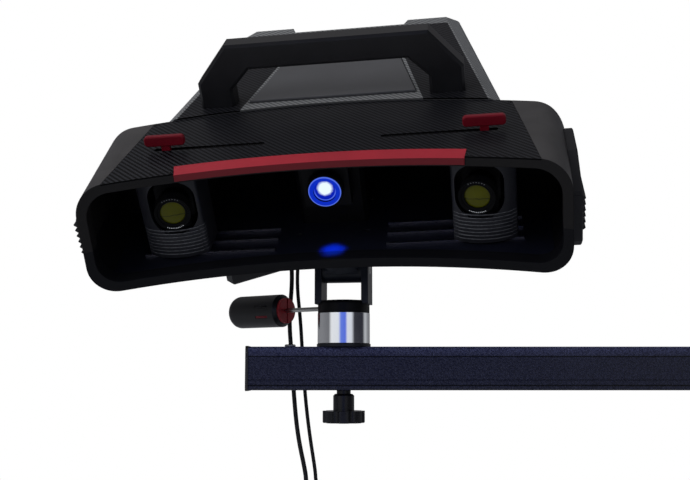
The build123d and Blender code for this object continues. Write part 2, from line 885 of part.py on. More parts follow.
def turret_plan(grow):
    half = turret_half_width + grow
    corner = turret_front + turret_bulge - grow
    front = turret_front - grow
    back = turret_back + grow
    arc = ThreePointArc((-half, corner), (0, front), (half, corner))
    straights = Polyline((half, corner), (half, back), (-half, back), (-half, corner))
    return make_face([arc] + straights.edges())


def turret():
    """The right camera turret, drawn about x = 0, with its window nearer the middle of the scanner."""
    body = up(turret_plan(0), turret_bottom, turret_top)
    body = fillet(body.edges().filter_by(Axis.Z), 5)
    body -= up(turret_plan(-turret_wall), turret_bottom + turret_wall, turret_top - turret_wall)
    window = RectangleRounded(window_width, window_height, window_width / 2 - 2)
    middle = (-window_inward, turret_front - 5, window_centre_z)
    front = Plane(origin=middle, x_dir=(1, 0, 0), z_dir=(0, -1, 0))
    body -= extrude(front * window, amount=-25)
    rib_half = turret_half_width - 5
    ribs = up(turret_plan(turret_rib_proud) - turret_plan(-1), 0, turret_rib_pitch * 0.45)
    ribs &= block(-rib_half, rib_half, turret_front - 3, turret_front + 16, -1, 10)
    for i in range(turret_rib_count):
        body += Pos(0, 0, turret_bottom + turret_rib_low + i * turret_rib_pitch) * ribs
    plinth_top = optical_axis_z - camera_size / 2
    body += block(-14, 14, camera_front + 3, turret_back - turret_wall, turret_bottom + 1, plinth_top)
    return body - block(-21, 21, turret_back - 5, turret_back + 1, plinth_top + 4, turret_top - 8)


def aimed(shape, side):
    """Turn a piece of the right camera about its upright axis, and put it in place."""
    place = Pos(side * turret_x, camera_front + 15, 0) * Rot(0, 0, -side * toe_in)
    return place * Pos(0, -camera_front - 15, 0) * shape


def camera_body():
    half = camera_size / 2
    y0 = camera_front
    body = block(-half, half, y0, y0 + camera_length, optical_axis_z - half, optical_axis_z + half)
    return chamfer(body.edges().filter_by(Axis.Y), 2)


def lens_barrel():
    radius = barrel_diameter / 2
    barrel = rod_y(0, optical_axis_z, radius, barrel_front, barrel_front + 14)
    barrel += rod_y(0, optical_axis_z, radius - 3, barrel_front + 14, camera_front)
    barrel = barrel - rod_y(0, optical_axis_z, lens_diameter / 2 + 2, barrel_front - 1, barrel_front + 2)
    return barrel - rod_y(0, optical_axis_z, lens_diameter / 2 + 0.1, barrel_front, camera_front - 4)


def lens_glass():
    start = barrel_front + lens_recess
    disc = rod_y(0, optical_axis_z, lens_diameter / 2, start, start + lens_thickness)
    return chamfer(disc.edges().filter_by(GeomType.CIRCLE), 0.6)


def slide_knob(side):
    x = side * (turret_x + knob_offset)
    foot = block(-knob_foot_width / 2, knob_foot_width / 2, slot_y - 7, slot_y + 5,
                 turret_top, turret_top + knob_foot_thickness)
    tab_low = hood_half + knob_neck
    stem = block(-knob_stem_width / 2, knob_stem_width / 2, slot_y - knob_stem_depth / 2,
                 slot_y + knob_stem_depth / 2, turret_top + 1, tab_low + 1)
    half = knob_tab_width / 2
    deep = knob_tab_depth / 2
    tab = block(-half, half, slot_y - deep, slot_y + deep, tab_low, tab_low + knob_tab_height)
    tab = fillet(tab.edges().filter_by(Axis.Y), 4)
    tab = fillet(tab.edges().filter_by(Axis.X), 1.5)
    return Pos(x, 0, 0) * (foot + stem + tab)


def projector_housing():
    low = bench_top
    top = hood_half - hood_wall - 1
    half = projector_half_width
    wall = projector_wall
    body = block(-half, half, projector_front, projector_back, low, top)
    body = chamfer(body.edges().filter_by(Axis.Z), 4)
    front = projector_front + wall
    body -= block(-half + wall, half - wall, front, projector_back - wall, low + wall, top - wall)
    nose_low = optical_axis_z - nose_half_width
    body += block(-nose_half_width, nose_half_width, nose_front, projector_front, nose_low, top - 4)
    bore = projector_ring_radius - 3.5 + running_gap
    return body - rod_y(0, optical_axis_z, bore, nose_front - 1, front + 2)


def projector_barrel():
    radius = projector_ring_radius
    ring = rod_y(0, optical_axis_z, radius, projector_ring_front, nose_front)
    ring = chamfer(ring.faces().sort_by(Axis.Y)[0].edges(), 1.5)
    barrel = ring + rod_y(0, optical_axis_z, radius - 3.5, nose_front, projector_front + 4)
    bore = projector_glass_radius
    barrel -= rod_y(0, optical_axis_z, bore + 0.1, projector_ring_front - 1, nose_front)
    return barrel - rod_y(0, optical_axis_z, bore - 2, nose_front - 1, projector_front + 5)


def projector_glass():
    y0 = projector_ring_front + 3
    lens = rod_y(0, optical_axis_z, projector_glass_radius, y0, y0 + 5)
    return chamfer(lens.edges().filter_by(GeomType.CIRCLE), 1)


def led_module():
    y0 = projector_front + led_setback
    bottom = optical_axis_z - led_sink_half
    top = optical_axis_z + led_sink_half
    fins_front = y0 + led_sink_base
    fins_back = projector_back - projector_wall
    sink = block(-led_sink_half, led_sink_half, y0, fins_front, bottom, top)
    for i in range(led_fin_count):
        x = (i - (led_fin_count - 1) / 2) * led_fin_pitch
        sink += block(x - led_fin_half, x + led_fin_half, fins_front, fins_back, bottom, top)
    emitter = rod_y(0, optical_axis_z, led_emitter_radius, y0 - led_emitter_height, y0)
    return sink + emitter


# Inside and behind the chassis

def control_board():
    z = bench_top + board_lift
    board = block(-board_width / 2, board_width / 2, board_y, board_y + board_length, z, z + 1.6)
    chips = [(-45, 30, 13, 13, 4), (5, 30, 17, 17, 6), (50, 25, 8, 11, 3)]
    chips += [(-40, 80, 20, 9, 9), (30, 82, 10, 10, 14)]
    for x, y, wide, long, high in chips:
        middle = board_y + y
        board += block(x - wide, x + wide, middle - long, middle + long, z + 1, z + 1.6 + high)
    return board


def rear_wall():
    return chassis_rear_y - notch_depth


def rear_panel():
    y0 = rear_wall()
    plate = along_y(RectangleRounded(rear_panel_width, rear_panel_height, 6), y0, y0 + rear_panel_thickness)
    for i in range(7):
        z = -21 + 7 * i
        plate -= block(fan_x - 22, fan_x + 22, y0 - 1, y0 + 5, z - 1.6, z + 1.6)
    wide = switch_width / 2 + clearance
    high = switch_height / 2 + 1.2
    plate -= block(switch_x - wide, switch_x + wide, y0 - 1, y0 + 5, switch_z - high, switch_z + high)
    for x in (-1, 1):
        for z in (-1, 1):
            plate -= rod_y(x * (rear_panel_width / 2 - 3), z * (rear_panel_height / 2 - 6), 1.4,
                           y0 + rear_panel_thickness - 1, y0 + 5)
    return plate + rod_x(y0, switch_z, switch_pin_diameter / 2, switch_x - wide - 2, switch_x + wide + 2)


def fan_frame():
    y1 = rear_wall()
    half = fan_size / 2
    frame = block(fan_x - half, fan_x + half, y1 - fan_depth, y1, -half, half)
    frame = fillet(frame.edges().filter_by(Axis.Y), 4)
    frame -= rod_y(fan_x, 0, half - 2, y1 - fan_depth - 1, y1 + 1)
    frame += rod_y(fan_x, 0, 13, y1 - fan_depth, y1 - fan_depth + 2)
    for turn in (45, 135, 225, 315):
        strut = block(0, half - 1, -1.5, 1.5, -1, 1)
        frame += Pos(fan_x, y1 - fan_depth + 1, 0) * Rot(90, 0, 0) * Rot(0, 0, turn) * strut
    frame += rod_y(fan_x, 0, 2, y1 - fan_depth + 1, y1 - 4)
    return frame


def fan_rotor():
    y0 = rear_wall() - fan_depth + 3
    y1 = rear_wall() - 2
    rotor = rod_y(fan_x, 0, 12, y0, y1)
    blade_length = fan_size / 2 - 3.5
    for i in range(7):
        blade = Pos((blade_length + 10) / 2, 0, 0) * Rot(35, 0, 0) * Box(blade_length - 10, 1.4, 11)
        rotor += Pos(fan_x, (y0 + y1) / 2, 0) * Rot(90, 0, 0) * Rot(0, 0, i * 360 / 7) * blade
    return rotor - rod_y(fan_x, 0, 2 + running_gap, y0 - 1, y1 - 1)


def power_switch():
    y0 = rear_wall()
    half = switch_width / 2
    high = switch_height / 2 - 0.8
    rocker = block(-half, half, -7, rear_panel_thickness + 2.5, -high, high)
    rocker -= Pos(0, rear_panel_thickness + 5.5, 0) * Rot(0, 90, 0) * Cylinder(5, switch_width + 2)
    rocker -= rod_x(0, 0, switch_pin_diameter / 2 + running_gap, -switch_width, switch_width)
    return Pos(switch_x, y0, switch_z) * Rot(-switch_lean, 0, 0) * rocker


# The cable duct and the cables

def cable_duct():
    top = -hood_half
    low = top - duct_drop
    points = [(-duct_left, 60), (-duct_left, 16), (-duct_left + 8, 9), (-duct_right, 34),
              (-duct_right, duct_rear), (-duct_right - 32, duct_rear)]
    shell = up(outline(points), low, top)
    shell = chamfer(shell.faces().sort_by(Axis.Z)[0].edges(), 3)
    inner = [(-duct_left + 4, 59), (-duct_left + 4, 20), (-duct_left + 10, 14), (-duct_right - 3, 37),
             (-duct_right - 3, duct_rear - 3), (-duct_right - 29, duct_rear - 3)]
    shell -= up(outline(inner), low + duct_wall, top - 1)
    ear = outline([(duct_rear - 8, top), (boot_y + 3, top), (boot_y + 6, boot_z), (boot_y, boot_z - 6),
                   (boot_y - 6, boot_z - 3), (duct_rear - 8, low + 2)])
    reach = boot_spacing + clearance * 2
    for x0 in (-boot_x - reach - 3, -boot_x + reach):
        shell += along_x(ear, x0, x0 + 3)
    return shell + rod_x(boot_y, boot_z, boot_pin_diameter / 2, -boot_x - reach - 1, -boot_x + reach + 1)


def boot_centre(way):
    """Where a cable boot hangs on its pin, in the frame of the whole object."""
    place = head_place * Pos(-boot_x + way * boot_spacing / 2, boot_y, boot_z)
    return place.position


def cable_boots():
    boots = []
    for way, diameter in ((-1, data_cable_diameter), (1, power_cable_diameter)):
        x = -boot_x + way * boot_spacing / 2
        width = boot_spacing / 2 - clearance / 2
        barrel = rod_x(boot_y, boot_z, boot_barrel_radius, x - width, x + width)
        bore = rod_x(boot_y, boot_z, boot_pin_diameter / 2 + running_gap, x - 20, x + 20)
        centre = boot_centre(way)
        nose = Cone(diameter / 2 + 0.9, boot_barrel_radius - 0.8, boot_length)
        nose = Pos(centre.X, centre.Y, centre.Z - boot_length / 2) * nose
        boots.append(head_place * barrel + nose - head_place * bore)
    return boots


def cable_points(way, steps, tail):
    """A hanging cable: straight down from its boot, through points from the pan axis, straight down."""
    centre = boot_centre(way)
    start = (centre.X, centre.Y, centre.Z - boot_length)
    points = [start, (centre.X, centre.Y, start[2] - 45)]
    points += [(x - arm_reach, y, z) for x, y, z in steps]
    x, y, z = points[-1]
    return points + [(x, y, z - tail)]


def data_route():
    steps = [(-62.0, 93.0, 107), (-66.4, 95.0, 60), (-62.4, 94.4, 13), (-59.4, 91.4, -34),
             (-54.4, 86.8, -79), (-44.6, 81.0, -121)]
    return cable_points(-1, steps, 28)


def power_route():
    steps = [(-57.6, 99.0, 105), (-52.6, 103.6, 58), (-49.8, 104.6, 11), (-46.4, 104.0, -35),
             (-41.0, 104.2, -79), (-34.0, 104.6, -121)]
    return cable_points(1, steps, 26)


def bend_radii(points):
    """Each bend takes 0.45 of its shorter run."""
    radii = []
    for before, here, after in zip(points, points[1:], points[2:]):
        a = Vector(*here) - Vector(*before)
        b = Vector(*after) - Vector(*here)
        turn = radians(a.get_angle(b))
        radii.append(0.45 * min(a.length, b.length) / tan(turn / 2))
    return radii


def cable_tube(points, diameter):
    radii = bend_radii(points)
    path = FilletPolyline(*points, radius=radii)
    start = Plane(origin=path @ 0, z_dir=path % 0)
    section = start * Circle(diameter / 2)
    tube = sweep(section, path=path)
    print("cable", round(path.length, 1), "mm long, radii", [round(r) for r in radii])
    print("volume over section times length", round(tube.volume / (path.length * section.area), 4))
    return tube


def coil_centre(points, radius, thickness):
    x, y, z = points[-1]
    return x, y, z - radius - thickness


def coil(points, radius, thickness):
    x, y, z = coil_centre(points, radius, thickness)
    return Pos(x, y, z) * Rot(90, 0, 0) * Torus(radius, thickness)


def tail_end(points, radius, thickness):
    """Where the cable comes out below its coil and goes into its plug."""
    x, y, z = coil_centre(points, radius, thickness)
    return x, y, z - radius - thickness - cable_tail


def cable(points, diameter, radius, thickness):
    """The hanging stretch above the coil, and the short tail below it."""
    x, y, z = tail_end(points, radius, thickness)
    tail = rod_z(x, y, diameter / 2, z, z + cable_tail)
    return [cable_tube(points, diameter), tail]


def data_cable():
    return cable(data_route(), data_cable_diameter, data_coil_radius, data_coil_thickness)


def power_cable():
    return cable(power_route(), power_cable_diameter, power_coil_radius, power_coil_thickness)


def data_plug():
    x, y, top = tail_end(data_route(), data_coil_radius, data_coil_thickness)
    boot = Pos(x, y, top - 7) * Cone(5.5, 3.6, 14)
    grip = block(x - 8, x + 8, y - 4.5, y + 4.5, top - 36, top - 14)
    grip = fillet(grip.edges().filter_by(Axis.Z), 2)
    tongue = block(x - 6, x + 6, y - 2.3, y + 2.3, top - 48, top - 36)
    tongue -= block(x - 5.4, x + 5.4, y - 1.8, y + 0.6, top - 49, top - 37)
    return boot + grip + tongue


def power_plug():
    x, y, top = tail_end(power_route(), power_coil_radius, power_coil_thickness)
    boot = Pos(x, y, top - 6) * Cone(5, 3, 12)
    grip = rod_z(x, y, 6.5, top - 34, top - 12)
    sleeve = rod_z(x, y, 2.75, top - 44, top - 34) - rod_z(x, y, 1.3, top - 45, top - 36)
    return boot + grip + sleeve


def placed(shape, place):
    if isinstance(shape, list):
        return [place * piece for piece in shape]
    return place * shape


def head_pieces():
    """Every piece of the scanner, in the scanner's own frame."""
    right_turret = turret()
    right_pad, left_pad = side_pads()
    pieces = {
        "mount_shoe": mount_shoe(),
        "housing_screws": housing_screws(),
        "hood_upper_shell": hood_upper_shell(),
        "hood_lower_shell": hood_lower_shell(),
        "carbon_top_panel": carbon_top_panel(),
        "red_front_strip": red_front_strip(),
        "side_pad_right": right_pad,
        "side_pad_left": left_pad,
        "chassis_upper_shell": chassis_upper_shell(),
        "chassis_lower_shell": chassis_lower_shell(),
        "chassis_side_panels": chassis_side_panels(),
        "centre_slab": centre_slab(),
        "handle": handle(),
        "rear_panel": rear_panel(),
        "guide_rails": guide_rails(),
        "optical_bench": optical_bench(),
        "projector_housing": projector_housing(),
        "projector_barrel": projector_barrel(),
        "projector_glass": projector_glass(),
        "led_module": led_module(),
        "control_board": control_board(),
        "fan_frame": fan_frame(),
        "fan_rotor": fan_rotor(),
        "power_switch": power_switch(),
        "cable_duct": cable_duct(),
    }
    turrets = {"left": mirrored(right_turret), "right": right_turret}
    for side, name in ((-1, "left"), (1, "right")):
        pieces["turret_" + name] = Pos(side * turret_x, 0, 0) * turrets[name]
        pieces["slide_knob_" + name] = slide_knob(side)
        pieces["camera_body_" + name] = aimed(camera_body(), side)
        pieces["lens_barrel_" + name] = aimed(lens_barrel(), side)
        pieces["lens_glass_" + name] = aimed(lens_glass(), side)
    return pieces


def stand_pieces():
    """Every piece of the arm and mount, and the cables, where they stand."""
    return {
        "arm_tube": arm_tube(),
        "arm_end_caps": arm_end_caps(),
        "arm_socket_bush": arm_socket_bush(),
        "arm_ring_screw": arm_ring_screw(),
        "base_ring": base_ring(),
        "base_cylinder": base_cylinder(),
        "clamp_stud": clamp_stud(),
        "star_knob": star_knob(),
        "collar": collar(),
        "pan_spindle": pan_spindle(),
        "yoke": yoke(),
        "tilt_axle": tilt_axle(),
        "lever_rod": lever_rod(),
        "lever_grip": lever_grip(),
        "lever_cap": lever_cap(),
        "tilt_block": tilt_block(),
        "head_stud": head_stud(),
        "cable_boots": cable_boots(),
        "data_cable": data_cable(),
        "power_cable": power_cable(),
        "data_cable_coil": coil(data_route(), data_coil_radius, data_coil_thickness),
        "power_cable_coil": coil(power_route(), power_coil_radius, power_coil_thickness),
        "data_plug": data_plug(),
        "power_plug": power_plug(),
    }


def main():
    os.makedirs("parts", exist_ok=True)
    nodes = stand_pieces()
    for name, shape in head_pieces().items():
        nodes[name] = placed(shape, head_place)
    for name, shape in nodes.items():
        if isinstance(shape, list):
            shape = Compound(children=[Part() + piece for piece in shape])
        export_step(shape, f"parts/{name}.step")


main()
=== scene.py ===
import bpy
import bmesh
import json
from math import cos, pi, radians, sin
from mathutils import Matrix, Vector

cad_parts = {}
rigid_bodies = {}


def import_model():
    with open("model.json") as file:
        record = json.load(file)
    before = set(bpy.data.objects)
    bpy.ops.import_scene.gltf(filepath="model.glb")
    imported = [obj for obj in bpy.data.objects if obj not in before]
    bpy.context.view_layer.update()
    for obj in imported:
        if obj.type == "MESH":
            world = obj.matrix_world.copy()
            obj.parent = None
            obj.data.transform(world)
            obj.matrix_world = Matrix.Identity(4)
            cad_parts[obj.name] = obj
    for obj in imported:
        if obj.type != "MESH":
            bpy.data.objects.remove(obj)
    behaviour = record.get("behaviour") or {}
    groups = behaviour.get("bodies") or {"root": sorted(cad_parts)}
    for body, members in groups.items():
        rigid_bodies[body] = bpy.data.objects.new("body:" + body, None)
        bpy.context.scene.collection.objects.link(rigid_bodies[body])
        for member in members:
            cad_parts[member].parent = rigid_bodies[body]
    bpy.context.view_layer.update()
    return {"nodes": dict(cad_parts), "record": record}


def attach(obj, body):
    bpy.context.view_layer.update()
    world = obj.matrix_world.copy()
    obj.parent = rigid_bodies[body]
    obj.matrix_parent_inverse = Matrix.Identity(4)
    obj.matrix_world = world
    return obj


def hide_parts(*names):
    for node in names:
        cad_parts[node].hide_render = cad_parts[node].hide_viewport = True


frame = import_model()

# The pose of the mount, and where the scanner's own frame lies in the row frame: x to the right, y back and
# z up, with its origin in the middle of the front opening
mount_x = -0.42
axle_height = 0.1092
pan = radians(-10.2)
tilt = radians(39.0)
swivel = radians(2.8)
yoke_frame = Matrix.Translation((mount_x, 0, axle_height)) @ Matrix.Rotation(pan, 4, "Z")
head_frame = yoke_frame @ Matrix.Rotation(tilt, 4, "X") @ Matrix.Rotation(swivel, 4, "Z")
head_frame = head_frame @ Matrix.Translation((0, -0.0912, 0.118))


# The camera stands where the photograph's stood. Width and focal length are in the photograph's pixels
photo_width = 690
focal_length = 1000
camera_place = (-0.4186, -1.1145, -0.0035)
camera_pitch = 7.5
sensor_width = 36


def add_camera():
    camera = bpy.data.cameras.new("camera")
    camera.sensor_width = sensor_width
    camera.lens = sensor_width * focal_length / photo_width
    camera.clip_end = 100
    holder = bpy.data.objects.new("camera", camera)
    holder.location = camera_place
    holder.rotation_euler = (radians(90 + camera_pitch), 0, 0)
    bpy.context.collection.objects.link(holder)
    bpy.context.scene.camera = holder


add_camera()


# Node helpers

class Nodes:
    """A node tree with a few short ways to add and join nodes."""

    def __init__(self, tree):
        self.tree = tree
        self.tree.nodes.clear()

    def add(self, kind, **settings):
        node = self.tree.nodes.new(kind)
        for key, value in settings.items():
            setattr(node, key, value)
        return node

    def join(self, source, target):
        self.tree.links.new(source, target)

    def put(self, value, target):
        if isinstance(value, bpy.types.NodeSocket):
            self.join(value, target)
        else:
            target.default_value = value

    def math(self, operation, a, b=0.0, clamp=False):
        node = self.add("ShaderNodeMath", operation=operation, use_clamp=clamp)
        self.put(a, node.inputs[0])
        self.put(b, node.inputs[1])
        return node.outputs[0]

    def blend(self, share, a, b):
        node = self.add("ShaderNodeMix", data_type="RGBA")
        self.put(share, node.inputs[0])
        self.put(a, node.inputs[6])
        self.put(b, node.inputs[7])
        return node.outputs[2]

    def mix_shaders(self, share, a, b):
        node = self.add("ShaderNodeMixShader")
        self.put(share, node.inputs[0])
        self.join(a, node.inputs[1])
        self.join(b, node.inputs[2])
        return node.outputs[0]

    def ramp(self, share, stops):
        node = self.add("ShaderNodeValToRGB")
        self.join(share, node.inputs[0])
        points = node.color_ramp.elements
        while len(points) < len(stops):
            points.new(0.5)
        for point, (position, colour) in zip(points, stops):
            point.position = position
            point.color = (*colour, 1)
        return node.outputs[0]


class Material(Nodes):
    """A node material around one Principled shader."""

    def __init__(self, name):
        self.material = bpy.data.materials.new(name)
        self.material.use_nodes = True
        super().__init__(self.material.node_tree)
        self.output = self.add("ShaderNodeOutputMaterial")
        self.shader = self.add("ShaderNodeBsdfPrincipled")
        self.join(self.shader.outputs["BSDF"], self.output.inputs["Surface"])
        self.place = self.add("ShaderNodeTexCoord").outputs["Object"]

    def set(self, **values):
        for name, value in values.items():
            self.put(value, self.shader.inputs[name.replace("_", " ")])

    def noise(self, scale, detail=3.0, where=None):
        node = self.add("ShaderNodeTexNoise")
        node.inputs["Scale"].default_value = scale
        node.inputs["Detail"].default_value = detail
        self.join(where or self.place, node.inputs["Vector"])
        return node.outputs["Fac"]

    def cells(self, scale):
        node = self.add("ShaderNodeTexVoronoi", feature="SMOOTH_F1")
        node.inputs["Scale"].default_value = scale
        node.inputs["Smoothness"].default_value = 0.6
        self.join(self.place, node.inputs["Vector"])
        return node.outputs["Distance"]

    def vector_math(self, operation, a, b, output="Value"):
        node = self.add("ShaderNodeVectorMath", operation=operation)
        self.put(a, node.inputs[0])
        self.put(b, node.inputs[1])
        return node.outputs[output]

    def spread(self, value, low, high, from_low=0.0, from_high=1.0):
        node = self.add("ShaderNodeMapRange")
        self.put(value, node.inputs["Value"])
        node.inputs["From Min"].default_value = from_low
        node.inputs["From Max"].default_value = from_high
        node.inputs["To Min"].default_value = low
        node.inputs["To Max"].default_value = high
        return node.outputs["Result"]

    def between(self, value, low, high):
        """1 where the value lies between low and high."""
        above = self.math("GREATER_THAN", value, low)
        return self.math("MULTIPLY", above, self.math("LESS_THAN", value, high))

    def line(self, value, middle, near, far, strength=1):
        """A soft line where the value is close to its middle, fading from near to far."""
        off = self.math("ABSOLUTE", self.math("SUBTRACT", value, middle))
        return self.spread(off, strength, 0, near, far)

    def bump(self, height, depth, strength=1.0, normal=None):
        node = self.add("ShaderNodeBump")
        node.inputs["Strength"].default_value = strength
        node.inputs["Distance"].default_value = depth
        self.join(height, node.inputs["Height"])
        if normal:
            self.join(normal, node.inputs["Normal"])
        return node.outputs["Normal"]

    def soft_edges(self, radius):
        node = self.add("ShaderNodeBevel", samples=4)
        node.inputs["Radius"].default_value = radius
        return node.outputs["Normal"]

    def in_head(self):
        """Coordinates in the scanner's own frame, in metres."""
        node = self.add("ShaderNodeMapping", vector_type="TEXTURE")
        node.inputs["Location"].default_value = head_frame.to_translation()
        node.inputs["Rotation"].default_value = head_frame.to_euler("XYZ")
        self.join(self.place, node.inputs["Vector"])
        return node.outputs["Vector"]

    def normal(self):
        return self.add("ShaderNodeTexCoord").outputs["Normal"]

    def facing(self, direction):
        """How squarely the surface looks along a direction of the scanner's own frame."""
        return self.vector_math("DOT_PRODUCT", self.normal(), head_frame.to_3x3() @ Vector(direction))

    def split(self, vector):
        node = self.add("ShaderNodeSeparateXYZ")
        self.join(vector, node.inputs[0])
        return node.outputs


def shade(colour, factor):
    return tuple(min(c * factor, 1.0) for c in colour[:3]) + (1.0,)


# How far a bevelled highlight reaches round the edges of most pieces
eased_edge = 0.0006


def satin(name, colour, rough, grain=1500, depth=0.00006, metal=0.0, coat=0.0, mottle=0.18, gloss=0.35,
          front=1.0):
    """Moulded or painted surfaces: fine grain, slow colour and gloss changes, eased edges.

    front paints shade on the faces that look forward: a darker copy of the colour stands in for the shade
    that light from above leaves on them.
    """
    m = Material(name)
    slow = m.noise(28, 4)
    fine = m.noise(grain, 2)
    colours = m.blend(m.spread(slow, 0, 1, 0.35, 0.65), shade(colour, 1 - mottle), shade(colour, 1 + mottle))
    # Painted shade: faces that look forward take a darker copy of the colour.
    if front != 1.0:
        colours = m.blend(m.spread(m.facing((0, -1, 0)), 0, 1, 0.4, 0.8), colours, shade(colour, front))
    m.set(Base_Color=colours, Metallic=metal, Specular_IOR_Level=gloss)
    m.set(Roughness=m.math("ADD", m.spread(slow, rough - 0.05, rough + 0.05), m.spread(fine, -0.03, 0.03)))
    m.set(Normal=m.bump(fine, depth, 0.8, m.soft_edges(eased_edge)))
    if coat:
        m.set(Coat_Weight=coat, Coat_Roughness=0.06)
    return m.material


# A point in the hood's middle, from which its inner faces are told from its outer ones
hood_middle = Vector((0, 0.05, 0))


def hood_shell(name, colour):
    """The hood's satin plastic, with painted shade: darker on the faces of its rim that look forward, and on
    its inner faces.
    """
    m = Material(name)
    slow = m.noise(28, 4)
    fine = m.noise(1500, 2)
    outward = m.vector_math("SUBTRACT", m.place, head_frame @ hood_middle, "Vector")
    inside = m.vector_math("DOT_PRODUCT", outward, m.normal())
    # Painted shade: faces that look forward and faces turned into the hood take a darker copy of the colour,
    # for the shade that falls there.
    rim = m.spread(m.facing((0, -1, 0)), 0, 1, 0.45, 0.85)
    dark = m.math("MAXIMUM", rim, m.spread(inside, 1, 0, -0.004, 0.0))
    lit = m.blend(m.spread(slow, 0, 1, 0.35, 0.65), shade(colour, 0.85), shade(colour, 1.15))
    m.set(Base_Color=m.blend(dark, lit, shade(colour, 0.3)))
    m.set(Specular_IOR_Level=m.spread(dark, 0.3, 0.12), Roughness=m.spread(fine, 0.40, 0.50))
    m.set(Normal=m.bump(fine, 0.00006, 0.8, m.soft_edges(0.0012)))
    return m.material


def brushed(name, colour, rough, stretch=(1, 1, 40)):
    """Turned or ground metal with fine lines."""
    m = Material(name)
    node = m.add("ShaderNodeMapping")
    node.inputs["Scale"].default_value = stretch
    m.join(m.place, node.inputs["Vector"])
    lines = m.noise(160, 3, node.outputs["Vector"])
    slow = m.noise(40, 3)
    m.set(Base_Color=m.blend(lines, shade(colour, 0.85), shade(colour, 1.1)), Metallic=1.0)
    m.set(Roughness=m.math("ADD", m.spread(lines, rough - 0.06, rough + 0.08), m.spread(slow, -0.03, 0.03)))
    m.set(Normal=m.bump(lines, 0.00003, 0.6, m.soft_edges(0.0003)))
    return m.material


# The two scored lines along the arm, above and below its middle, and its upper edge
arm_lines = (0.0128, -0.0185)
arm_top = 0.0235


def hammered(name):
    """Hammer-finish paint on the arm: shallow cells, two dark scored lines, and a painted highlight that
    lightens the colour towards the upper edge.
    """
    m = Material(name)
    cell = m.cells(620)
    slow = m.noise(14, 3)
    fine = m.noise(900, 2)
    inside = m.spread(cell, 0, 1, 0.1, 0.75)
    colours = m.blend(inside, (0.036, 0.040, 0.084, 1), (0.003, 0.0035, 0.015, 1))
    tint = m.blend(m.spread(slow, 0, 1, 0.3, 0.7), (0.005, 0.007, 0.026, 1), (0.018, 0.020, 0.046, 1))
    z = m.split(m.place)[2]
    upper, lower = [m.line(z, height, 0.0004, 0.0009) for height in arm_lines]
    scored = m.math("MAXIMUM", upper, lower)
    # Painted highlight: the colour grows up to 3.6 times brighter towards the upper edge, for the light that
    # the rounded edge catches.
    painted_highlight = m.spread(z, 1.0, 3.6, 0.010, arm_top)
    grain = m.blend(0.3, colours, tint)
    lit = m.add("ShaderNodeVectorMath", operation="SCALE")
    m.join(grain, lit.inputs[0])
    m.join(m.math("MULTIPLY", painted_highlight, m.spread(scored, 1.0, 0.05)), lit.inputs["Scale"])
    m.set(Base_Color=lit.outputs[0], Metallic=0.2, Roughness=m.spread(fine, 0.36, 0.5))
    m.set(Specular_IOR_Level=0.3, Coat_Weight=0.15, Coat_Roughness=0.18)
    m.set(Normal=m.bump(inside, 0.0008, 1.0, m.soft_edges(0.0008)))
    return m.material


def ribbed_paint(name):
    """Dark paint on a camera column, with a painted highlight along the crests of its ribs on the front."""
    rib_pitch = 0.004
    m = Material(name)
    y, z = m.split(m.in_head())[1:]
    above = m.math("ADD", z, 0.042)
    phase = m.math("MODULO", m.math("ADD", above, 50 * rib_pitch), rib_pitch)
    crest = m.between(phase, 0.0010, 0.0017)
    height = m.between(above, -0.0005, 0.030)
    front = m.math("LESS_THAN", y, 0.033)
    # Painted highlight: a light line along the crest of each rib, on the front of the column, broken up by
    # noise.
    painted_highlight = m.math("MULTIPLY", m.math("MULTIPLY", crest, height), front)
    patchy_crest_highlight = m.math("MULTIPLY", painted_highlight, m.spread(m.noise(260, 3), 0.4, 1.0, 0.35, 0.6))
    base = m.blend(m.noise(28, 4), (0.012, 0.0125, 0.017, 1), (0.018, 0.0185, 0.024, 1))
    m.set(Base_Color=m.blend(patchy_crest_highlight, base, (0.16, 0.165, 0.18, 1)), Specular_IOR_Level=0.3)
    m.set(Roughness=m.spread(m.noise(1500, 2), 0.38, 0.46))
    m.set(Normal=m.bump(m.noise(1600, 2), 0.00006, 0.8, m.soft_edges(eased_edge)))
    return m.material


def chromed(name):
    """Polished plating with a little haze."""
    m = Material(name)
    slow = m.noise(30, 3)
    fine = m.noise(500, 3)
    m.set(Base_Color=m.blend(slow, (0.66, 0.68, 0.72, 1), (0.82, 0.84, 0.87, 1)), Metallic=1.0)
    m.set(Roughness=m.math("ADD", m.spread(slow, 0.07, 0.11), m.spread(fine, 0.0, 0.03)))
    m.set(Normal=m.bump(m.noise(60, 2), 0.00002, 0.5, m.soft_edges(0.0004)))
    return m.material


